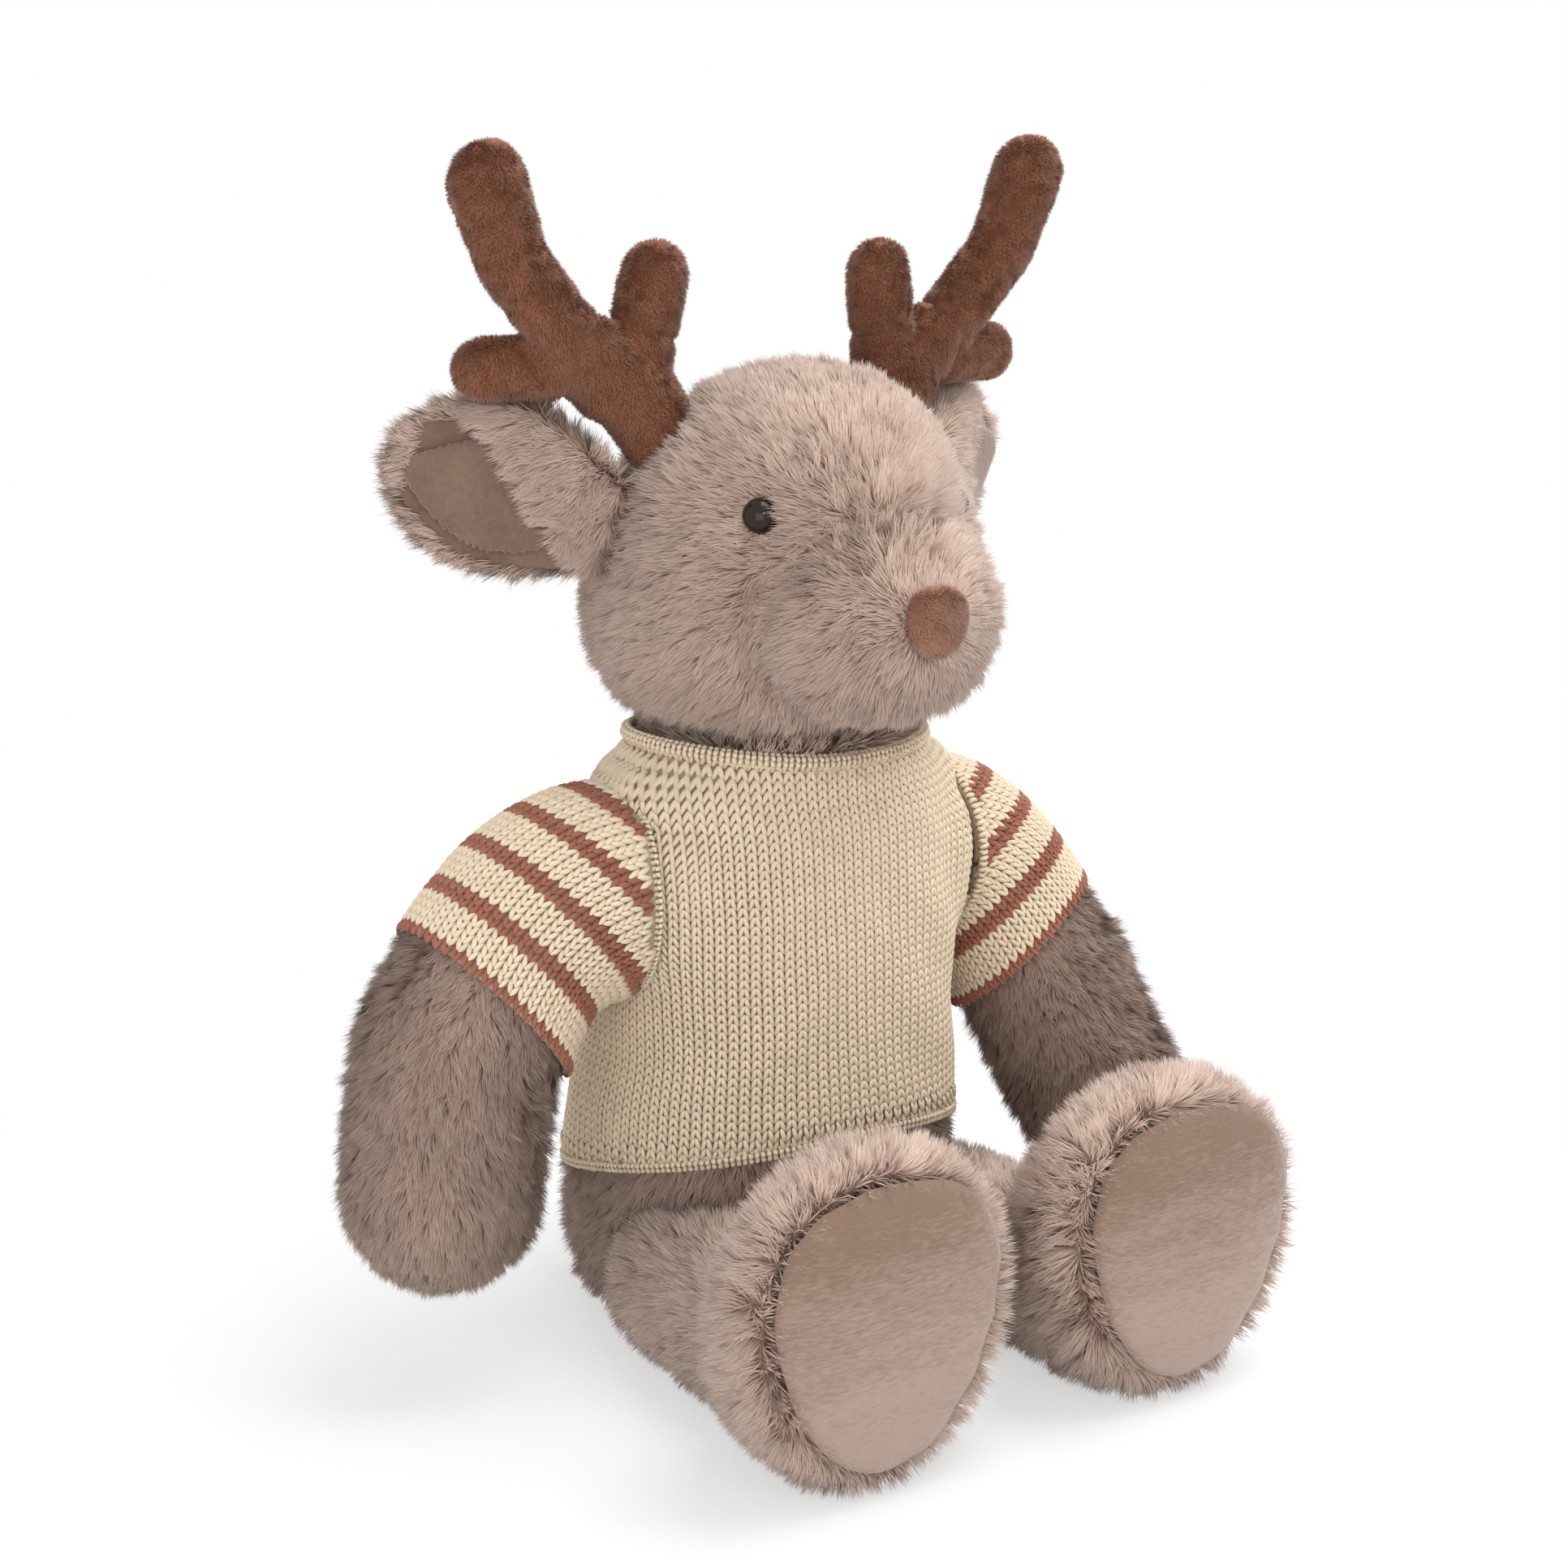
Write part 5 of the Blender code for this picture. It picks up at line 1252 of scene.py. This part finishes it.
def makeTorso():
    within = ["torso_skin", "torso_filling", "pellet_bag"]
    skin = clothFrom("torsoCloth", within, torso)
    points = coords(skin.data)
    below = 1 - smoothStep(*torso["belowHem"], points[:, 2] - hemHeight(points))
    offNeck = np.linalg.norm(points[:, :2] - (0, knit["neckY"]), axis=1)
    above = smoothStep(*torso["aboveNeck"], points[:, 2]) * (1 - smoothStep(*torso["byNeck"], offNeck))
    grow = np.maximum(below, above)
    for side in sides:
        hip = np.array(jointOf(f"leg_{side}")["pos_m"])
        grow *= smoothStep(*torso["byHip"], np.linalg.norm(points - hip, axis=1))
    ways = np.array((0, 0, -0.75)) * below[:, None] + unit(points * np.array((1, 1, 0))) * 0.3
    ways = ways * (1 - above[:, None]) + np.array((0, 0, 0.3)) * above[:, None]
    combed(skin, ways, 1 + 0.4 * above, grow)
    fur = bodyFur(skin, {
        "Stand": 0.66, "Wander": 0.5, "Tuft size": 0.009, "Stray": 0.24, "Tone": torso["tone"],
        "Seed": 61}, "torsoFur")
    dress(skin, fur, "torso", within)


def makeTail():
    skin = clothFrom("tailCloth", ["tail"], tail)
    count = len(skin.data.vertices)
    combed(skin, np.tile((0, 0.8, 0.1), (count, 1)), np.ones(count), np.ones(count))
    fur = bodyFur(skin, {"Stand": 0.6, "Wander": 0.6, "Tuft size": 0.008, "Stray": 0.24, "Seed": 62}, "tailFur")
    dress(skin, fur, "torso", ["tail"])


def makeNeck():
    within = ["neck_skin", "neck_filling"]
    skin = clothFrom("neckCloth", within, neck)
    points = coords(skin.data)
    grow = 1 - smoothStep(*neck["bareFrom"], points[:, 2])
    # It fills the collar, wider at its foot
    wider = 1 + neck["wider"] * (1 - smoothStep(*neck["widerTo"], points[:, 2]))
    points = (points - neck["centre"]) * np.stack([wider, wider, 0 * wider + 1], 1) + neck["centre"]
    setCoords(skin.data, points)
    count = len(points)
    combed(skin, np.tile((0, 0, 0.25), (count, 1)), 1.5 * np.ones(count), grow)
    fur = bodyFur(skin, {
        "Stand": 1.1, "Wander": 0.5, "Tuft size": 0.008, "Stray": 0.3, "Tone": neck["tone"],
        "Seed": 63}, "neckFur")
    dress(skin, fur, "neck", within)


makeTorso()
makeTail()
makeNeck()
print("torso done")


# Knitted sweater

# The body is read on a grid, by rays from outside it
bodyGrid = {"turns": 120, "heights": 72, "lowest": 0.020, "castFrom": 0.12, "castLength": 0.2, "smooth": 5}


# How far the sweater's outside is from the torso's middle, by turn and height
def outerSurface():
    trees = [surfaceTree(name) for name in ("sweater_front", "sweater_back", "torso_skin")]
    turns, heights, castFrom = bodyGrid["turns"], bodyGrid["heights"], bodyGrid["castFrom"]
    lowest, highest = bodyGrid["lowest"], knit["top"] - 0.0005
    table = np.zeros((heights, turns))
    for i in range(heights):
        z = lowest + (highest - lowest) * i / (heights - 1)
        for k in range(turns):
            turn = 2 * math.pi * k / turns
            way = Vector((math.cos(turn), math.sin(turn), 0))
            start = Vector((0, knit["centreY"], min(z, knit["holdAbove"]))) + way * castFrom
            reach = 0
            for tree in trees:
                hit = tree.ray_cast(start, -way, bodyGrid["castLength"])
                if hit[0] is not None:
                    reach = max(reach, castFrom - hit[3])
            table[i, k] = reach
    for _ in range(bodyGrid["smooth"]):
        padded = np.pad(table, ((1, 1), (0, 0)), mode="edge")
        table = (padded[:-2] + 2 * padded[1:-1] + padded[2:]) / 4
        table = (np.roll(table, 1, 1) + 2 * table + np.roll(table, -1, 1)) / 4
    return table, lowest, highest


surface, surfaceLow, surfaceHigh = outerSurface()


# Above the armholes the cloth leans in from the shoulders to the neckline, which is an ellipse
def yoke(turn, z, reach, grow):
    share = np.clip((z - knit["yokeFrom"]) / (knit["top"] - knit["yokeFrom"]), 0, 1)
    wide, deep = knit["neckHalf"]
    off = knit["centreY"] - knit["neckY"]
    a = np.cos(turn) ** 2 / wide**2 + np.sin(turn) ** 2 / deep**2
    b = 2 * np.sin(turn) * off / deep**2
    neckline = (-b + np.sqrt(b * b - 4 * a * (off * off / deep**2 - 1))) / (2 * a)
    high = knit["neckHigh"]
    sideHigh = np.where(np.cos(turn) < 0, high["right"], high["left"])
    endHigh = np.where(np.sin(turn) < 0, high["front"], high["back"])
    level = sideHigh + (endHigh - sideHigh) * np.sin(turn) ** 2
    swell = np.where(np.cos(turn) < 0, knit["shoulderRise"]["right"], knit["shoulderRise"]["left"])
    swell = swell * np.cos(turn) ** 4 * np.sin(math.pi * np.minimum(share * 1.15, 1))
    reach = reach * (1 - share**2) + (neckline + grow) * share**2 + swell
    return reach, z + (level - knit["top"]) * share


# Points on the sweater's body; turn and z are arrays
def bodyPoint(turn, z, grow=0.0):
    rows, columns = surface.shape
    k = np.mod(turn / (2 * math.pi), 1) * columns
    k0 = np.floor(k).astype(int) % columns
    f = k - np.floor(k)
    i = np.clip((z - surfaceLow) / (surfaceHigh - surfaceLow) * (rows - 1), 0, rows - 1.001)
    i0 = i.astype(int)
    g = i - i0
    k1 = (k0 + 1) % columns
    reach = (surface[i0, k0] * (1 - f) + surface[i0, k1] * f) * (1 - g) + (
        surface[i0 + 1, k0] * (1 - f) + surface[i0 + 1, k1] * f) * g + grow
    # Soft folds run from the armholes across the front and back
    slack = smoothStep(*knit["slackFrom"], z) * (1 - smoothStep(*knit["slackTo"], z))
    slack = knit["slack"] * slack * np.abs(np.cos(turn)) ** 0.7
    reach = reach + slack * np.sin(z * 190 + 10 * np.abs(np.cos(turn)))
    reach = reach + knit["waver"] * np.sin(3 * turn + z * 40) * np.sin(z * 70 - turn * 2)
    reach, high = yoke(turn, z, reach, grow)
    return np.stack([reach * np.cos(turn), knit["centreY"] + reach * np.sin(turn), high + 0 * turn], axis=-1)


def closedTurns(count):
    return np.linspace(0, 2 * math.pi, count + 1)[:-1]


# Two directions square to a way, the first of them square to another as well
def squareTo(way, other):
    level = unit(np.cross(way, other))
    return level, unit(np.cross(level, way))


def drawTones(rng, count):
    return np.clip(rng.normal(knit["toneMiddle"], knit["toneSpread"], count), 0, 1)


# Both legs of each V, as rows of (place, way, face, size, shade)
def stitchPoints(centres, ups, outs, shades, pitch, course):
    places, ways, faces, sizes, tones = [], [], [], [], []
    across = unit(np.cross(ups, outs))
    for hand in (-1, 1):
        places.append(centres + across * (hand * pitch[:, None] * knit["legApart"]))
        ways.append(unit(ups + across * (hand * knit["legLean"])))
        faces.append(outs)
        # Stretched stitches are wider too, so that no gap opens between them
        wide = pitch * (knit["yarn"] / knit["wale"]) * np.maximum(course / knit["course"], 1) ** 0.75
        sizes.append(np.stack([wide, wide, course * (knit["legLength"] / knit["course"])], axis=1))
        tones.append(shades)
    return [np.concatenate(x) for x in (places, ways, faces, sizes, tones)]


def stitched(name, rows, tree):
    places, ways, faces, sizes, tones = rows
    data = bpy.data.meshes.new(name)
    data.from_pydata([tuple(p) for p in places], [], [])
    addField(data, "way", "FLOAT_VECTOR", ways)
    addField(data, "face", "FLOAT_VECTOR", faces)
    addField(data, "size", "FLOAT_VECTOR", sizes)
    addField(data, "shade", "FLOAT", tones)
    source = link("source", data)
    made = grown(source, tree, {"Yarn": 1.0}, name)
    bpy.data.objects.remove(source)
    return made


panel = {
    "turns": 181, "waistAt": 0.060, "lowest": 0.045, "lift": 0.0002, "foldOut": 0.0004,
    # Steps to the points above and beside a stitch, which give its directions
    "stepUp": 0.002, "stepTurn": 0.03, "stretch": (0.95, 2.0),
    # The cloth behind the stitches, its two sides and the open shoulder
    "columns": 72, "rows": 40, "edge": 0.004, "outside": -0.0004, "inside": -0.0014,
    "armhole": ((0.014, -0.012), (0.0245, 0.0003)), "stitchLevel": 0.0006, "stitchClear": 0.0020,
}


# The knit of half the body; courses run level, and the lowest are cut off by the hem
def panelStitches(name, middleTurn, seed, shoulders):
    rng = np.random.default_rng(seed)
    centres, ups, outs, pitches, courses = [], [], [], [], []
    turns = np.linspace(-math.pi / 2, math.pi / 2, panel["turns"])
    rows = int((knit["top"] - torso["hemBack"]) / knit["course"]) + 1

    def widthAt(z):
        line = bodyPoint(middleTurn + turns, np.full(len(turns), z))
        return float(np.linalg.norm(np.diff(line, axis=0), axis=1).sum())

    wales = 2 * round(widthAt(panel["waistAt"]) / knit["wale"] / 2)
    hem = hemHeight(bodyPoint(middleTurn + turns, np.full(len(turns), knit["hemLevel"])))
    for i in range(rows):
        z = knit["top"] - 0.0005 - (rows - 1 - i) * knit["course"]
        keepRow = z >= hem - 0.3 * knit["course"]
        line = bodyPoint(middleTurn + turns, np.full(len(turns), z))
        steps = np.linalg.norm(np.diff(line, axis=0), axis=1)
        s = np.concatenate([[0], np.cumsum(steps)])
        s -= s[len(s) // 2]
        # The wales keep their number up to the armholes
        pitch = widthAt(max(min(z, knit["armholeLow"]), panel["lowest"])) / wales
        marks = (np.arange(wales) + 0.5 - wales / 2) * pitch
        marks = marks[(marks > s[0]) & (marks < s[-1])]
        t = np.interp(marks, s, turns)
        keep = np.interp(marks, s, keepRow.astype(float)) > 0.5
        t, marks = t[keep], marks[keep]
        if not len(t):
            continue
        fold = 1 - smoothStep(knit["hemFold"], knit["hemFold"] + 0.001, z - hem)
        fold = np.interp(marks, s, panel["foldOut"] * fold)
        here = bodyPoint(middleTurn + t, np.full(len(t), z), panel["lift"] + fold)
        above = bodyPoint(middleTurn + t, np.full(len(t), z + panel["stepUp"]), panel["lift"])
        beside = bodyPoint(middleTurn + t + panel["stepTurn"], np.full(len(t), z), panel["lift"])
        up = unit(above - here)
        outward = unit(np.cross(beside - here, up))
        keep = np.ones(len(t), bool)
        for middle, axis in shoulders:
            level, apart = besideAxis(here, middle, axis)
            clear = knit["armholeRadius"] + panel["stitchClear"] * (here[:, 2] - middle[2] > 0.015)
            keep &= ~((apart < clear) & (level > panel["stitchLevel"]))
        centres.append(here[keep])
        ups.append(up[keep])
        outs.append(outward[keep])
        pitches.append(np.full(keep.sum(), pitch))
        stretch = np.clip(np.linalg.norm(above - here, axis=1) / panel["stepUp"], *panel["stretch"])
        courses.append(knit["course"] * stretch[keep])
    centres, ups, outs, pitches, courses = (np.concatenate(x) for x in (centres, ups, outs, pitches, courses))
    shades = drawTones(rng, len(centres))
    return stitched(f"{name}Stitches", stitchPoints(centres, ups, outs, shades, pitches, courses), creamStitch)


def makePanel(name, node, middleTurn, seed):
    shoulders = [(path[0], unit(path[1] - path[0])) for path in map(armPath, sides)]
    stitches = panelStitches(name, middleTurn, seed, shoulders)

    # The cloth behind the stitches, down to the hem; its darker cream is painted shade in the gaps between the
    # stitches
    columns, rows = panel["columns"], panel["rows"]
    n = columns + 1
    turn = middleTurn + np.linspace(-math.pi / 2 + panel["edge"], math.pi / 2 - panel["edge"], n)
    hem = hemHeight(bodyPoint(turn, np.full(n, knit["hemLevel"])))
    points = np.concatenate([
        bodyPoint(turn, hem + (knit["top"] - hem) * i / rows, grow)
        for grow in (panel["outside"], panel["inside"]) for i in range(rows + 1)])
    faces = []
    half = (rows + 1) * n
    hole = np.zeros(half, bool)
    for middle, axis in shoulders:
        level, apart = besideAxis(points[:half], middle, axis)
        for reach, least in panel["armhole"]:
            hole |= (apart < reach) & (level > least)
    kept = {}
    for i in range(rows):
        for k in range(columns):
            quad = (i * n + k, i * n + k + 1, (i + 1) * n + k + 1, (i + 1) * n + k)
            if not hole[list(quad)].any():
                kept[(i, k)] = quad
    for (i, k), quad in kept.items():
        faces.append(quad)
        faces.append(tuple(half + q for q in quad[::-1]))
        a, b, c, d = quad
        beside = (((i - 1, k), a, b), ((i, k + 1), b, c), ((i + 1, k), c, d), ((i, k - 1), d, a))
        for other, p, q in beside:
            if other not in kept:
                faces.append((q, p, half + p, half + q))
    data = meshOf(name, points, faces)
    faceOutwards(data)
    made = link(name, data)
    data.materials.append(knitBackShade)
    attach(made, "torso")
    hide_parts(node)
    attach(stitches, "torso")
    return made, stitches


sleeve = {
    "around": 48, "rings": 22, "steps": 160, "from": 0.004, "outside": -0.0004, "inside": -0.0015,
    "offShoulder": 0.0004,
    # A stitch is at least this share of its course along the cuff's direction, and this steep to it
    "leastRun": 0.45, "leastSquare": 0.4, "mostStretch": 2.0, "rootShare": 0.25, "stitchSteps": 200,
}


# Points of the sleeve at shares of its path and turns about it
def tubeAt(path, radius, t, turn, grow=0.0):
    place, way = onPath(path, t)
    level, up = squareTo(way, (0, 1, 0))
    outward = level * np.cos(turn)[:, None] + up * np.sin(turn)[:, None]
    return place + outward * (np.array([radius(x) for x in t]) + grow)[:, None]


# Rounds square to the cuff's own direction, cut off by the armhole
def sleeveStitches(side, path, radius, seed):
    rng = np.random.default_rng(seed)
    wales = knit["sleeveWales"]
    turns = 2 * math.pi * (np.arange(wales) + 0.5) / wales
    ts = np.linspace(arm["cuffShare"] + knit["shareSpread"], 0.0, sleeve["stitchSteps"])
    line, way = onPath(path, ts)
    across, up = squareTo(way, (0, 1, 0))
    radii = np.array([radius(t) for t in ts])
    outs = across[:, None] * np.cos(turns)[None, :, None] + up[:, None] * np.sin(turns)[None, :, None]
    tube = line[:, None] + outs * radii[:, None, None]
    cuff, square = cuffOf(path)
    axis = unit(path[1] - path[0])
    rows = {True: [], False: []}
    for k in range(wales):
        first, top = int(np.argmax((cuff - tube[:, k]) @ square > 0)), len(ts)
        step = -np.diff(tube[:, k], axis=0)
        rise = np.maximum(step @ square, sleeve["leastRun"] * np.linalg.norm(step, axis=1))
        run = np.concatenate([[0], np.cumsum(rise)])
        run -= run[first]
        level = (tube[:, k] - path[0]) @ axis
        grain = np.gradient(tube[:, k], axis=0)
        for n in range(int(run[-1] / knit["course"])):
            u = (n + 0.5) * knit["course"]
            i = float(np.interp(u, run[first:], np.arange(first, top)))
            j = int(round(i))
            if level[j] < panel["stitchLevel"] and ts[j] < sleeve["rootShare"]:
                break
            place = np.array([np.interp(i, np.arange(top), tube[:, k, c]) for c in range(3)])
            upward = unit(grain[j])
            outward = unit(outs[j, k] - upward * (outs[j, k] @ upward))
            stretch = min(1 / max(-upward @ square, sleeve["leastSquare"]), sleeve["mostStretch"])
            pitch = 2 * math.pi * radii[j] / wales
            rows[isRust(n)].append((place, -upward, outward, pitch, knit["course"] * stretch))
    made = []
    for rust, name, tree in ((False, "sleeveStitches", creamStitch), (True, "stripeStitches", rustStitch)):
        place, ups, face, pitch, course = (np.array(x) for x in zip(*rows[rust]))
        shades = drawTones(rng, len(place))
        piece = stitched(f"{name}_{side}", stitchPoints(place, ups, face, shades, pitch, course), tree)
        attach(piece, f"arm_{side}")
        made.append(piece)
    return made


# The arm's radius along its path, with the sleeve's own looseness and its fullness at the shoulder
def sleeveRadius(side):
    root, full = arm["rootRadius"], arm["radius"][side]
    rise, reach = knit["sleeveRoot"][side]

    def at(t):
        base = root + (full - root) * np.interp(t, arm["radiusAlong"], arm["radiusShare"])
        share = t / arm["cuffShare"]
        return float(base + knit["sleeveLoose"] + knit["cuffLoose"] * share + rise * max(1 - reach * share, 0))
    return at


def isRust(k):
    done = 0
    for n, run in enumerate(knit["stripes"]):
        done += run
        if k < done:
            return n % 2 == 0
    return False


def makeSleeves():
    around = sleeve["around"]
    turn = 2 * math.pi * np.arange(around) / around
    for side, sign in sides.items():
        path = armPath(side)
        radius = sleeveRadius(side)
        axis = unit(path[1] - path[0])
        cuff, square = cuffOf(path)
        shares = np.linspace(arm["cuffShare"] + knit["shareSpread"], 0.2, sleeve["steps"])
        cut = []
        for k in turn:
            line = tubeAt(path, radius, shares, np.full(len(shares), k))
            cut.append(shares[np.argmax((cuff - line) @ square > 0)])
        # Out along the sleeve, and back inside it
        rows = []
        along = np.linspace(0, 1, sleeve["rings"])
        for grow, order in ((sleeve["outside"], along), (sleeve["inside"], along[::-1])):
            for share in order:
                ring = tubeAt(path, radius, sleeve["from"] + (np.array(cut) - sleeve["from"]) * share, turn, grow)
                level = (ring - path[0]) @ axis
                rows.append(ring + axis * np.maximum(sleeve["offShoulder"] - level, 0)[:, None])
        points = np.concatenate(rows)
        faces = []
        total = len(rows)
        for i in range(total):
            a, b = i * around, ((i + 1) % total) * around
            for k in range(around):
                n = (k + 1) % around
                faces.append((a + k, a + n, b + n, b + k))
        data = meshOf(f"sleeveCloth_{side}", points, faces)
        faceOutwards(data)
        made = link(f"sleeveCloth_{side}", data)
        data.materials.append(knitBackShade)
        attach(made, f"arm_{side}")
        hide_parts(f"sleeve_{side}")
        cream, rust = sleeveStitches(side, path, radius, 71 + sign)
        line = onPath(path, np.linspace(sleeve["from"], arm["cuffShare"], 40))[0]
        2 * math.pi * radius(arm["cuffShare"])


rollCore = {"around": 10, "inset": 0.0004}


# A rolled edge: rounds of stitches on a tube along a closed line, and the cloth inside it
def makeRoll(name, ring, outward, roll, degrees, body, seed, lift=0.8):
    rng = np.random.default_rng(seed)
    steps = np.linalg.norm(np.roll(ring, -1, 0) - ring, axis=1)
    run = np.concatenate([[0], np.cumsum(steps)])
    wales = int(run[-1] / knit["wale"])
    marks = (np.arange(wales) + 0.5) * run[-1] / wales

    def at(values):
        closed = np.concatenate([values, values[:1]])
        return np.stack([np.interp(marks, run, closed[:, k]) for k in range(3)], axis=1)

    along = unit(np.roll(ring, -1, 0) - np.roll(ring, 1, 0))
    outward = unit(outward - along * np.sum(outward * along, axis=1, keepdims=True))
    rise = unit(np.cross(along, outward))
    centre, face0, up0 = at(ring), unit(at(outward)), unit(at(rise))
    parts = []
    for angle in degrees:
        turn = math.radians(angle)
        face = face0 * math.cos(turn) + up0 * math.sin(turn)
        up = -face0 * math.sin(turn) + up0 * math.cos(turn)
        shades = drawTones(rng, wales)
        parts.append(stitchPoints(centre + face * roll, up, face, shades, np.full(wales, run[-1] / wales),
                                  np.full(wales, roll * lift)))
    made = stitched(f"{name}Stitches", [np.concatenate([p[k] for p in parts]) for k in range(5)], creamStitch)
    core, faces = [], []
    count, around = len(ring), rollCore["around"]
    for k in range(count):
        a, b = k * around, (k + 1) % count * around
        for j in range(around):
            turn = 2 * math.pi * j / around
            off = outward[k] * math.cos(turn) + rise[k] * math.sin(turn)
            core.append(ring[k] + off * (roll - rollCore["inset"]))
            n = (j + 1) % around
            faces.append((a + j, a + n, b + n, b + j))
    data = meshOf(name, core, faces)
    faceOutwards(data)
    data.materials.append(knitBackShade)
    core = link(name, data)
    for piece in (core, made):
        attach(piece, body)
    return core, made


def levelWays(turns):
    return np.stack([np.cos(turns), np.sin(turns), 0 * turns], 1)


def makeCollar():
    turns = closedTurns(120)
    roll = knit["collarRadius"]
    ring = bodyPoint(turns, np.full(len(turns), knit["top"])) + np.array((0, 0, roll * 0.6))
    core = makeRoll("collarRoll", ring, levelWays(turns), roll, (-95, -45, 5, 55, 105, 155), "torso", 81)[0]
    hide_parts("sweater_collar")


def makeHem():
    turns = closedTurns(160)
    z = hemHeight(bodyPoint(turns, np.full(len(turns), knit["hemLevel"])))
    ring = bodyPoint(turns, z, panel["foldOut"])
    return makeRoll("hemRoll", ring, levelWays(turns), knit["hemRadius"], (-90, -30, 30), "torso", 82)


def makeArmholes():
    made = []
    turns = closedTurns(80)
    for side in sides:
        path = armPath(side)
        axis = unit(path[1] - path[0])
        level, up = squareTo(axis, (0, 0, 1))
        outward = level[None] * np.cos(turns)[:, None] + up[None] * np.sin(turns)[:, None]
        ring = path[0] - axis * knit["armholeBack"] + outward * (knit["armholeRadius"] + knit["armholeOut"])
        made += makeRoll(f"armhole_{side}", ring, outward, knit["armholeRoll"], (-40, 40, 120), "torso", 83, 1.3)
    return made


front, frontStitches = makePanel("sweaterFront", "sweater_front", -math.pi / 2, 91)
back, backStitches = makePanel("sweaterBack", "sweater_back", math.pi / 2, 92)
hem = makeHem()
armholes = makeArmholes()
makeSleeves()
makeCollar()
print("sweater done")

for helper in (blade, yarnLeg):
    bpy.data.objects.remove(helper)
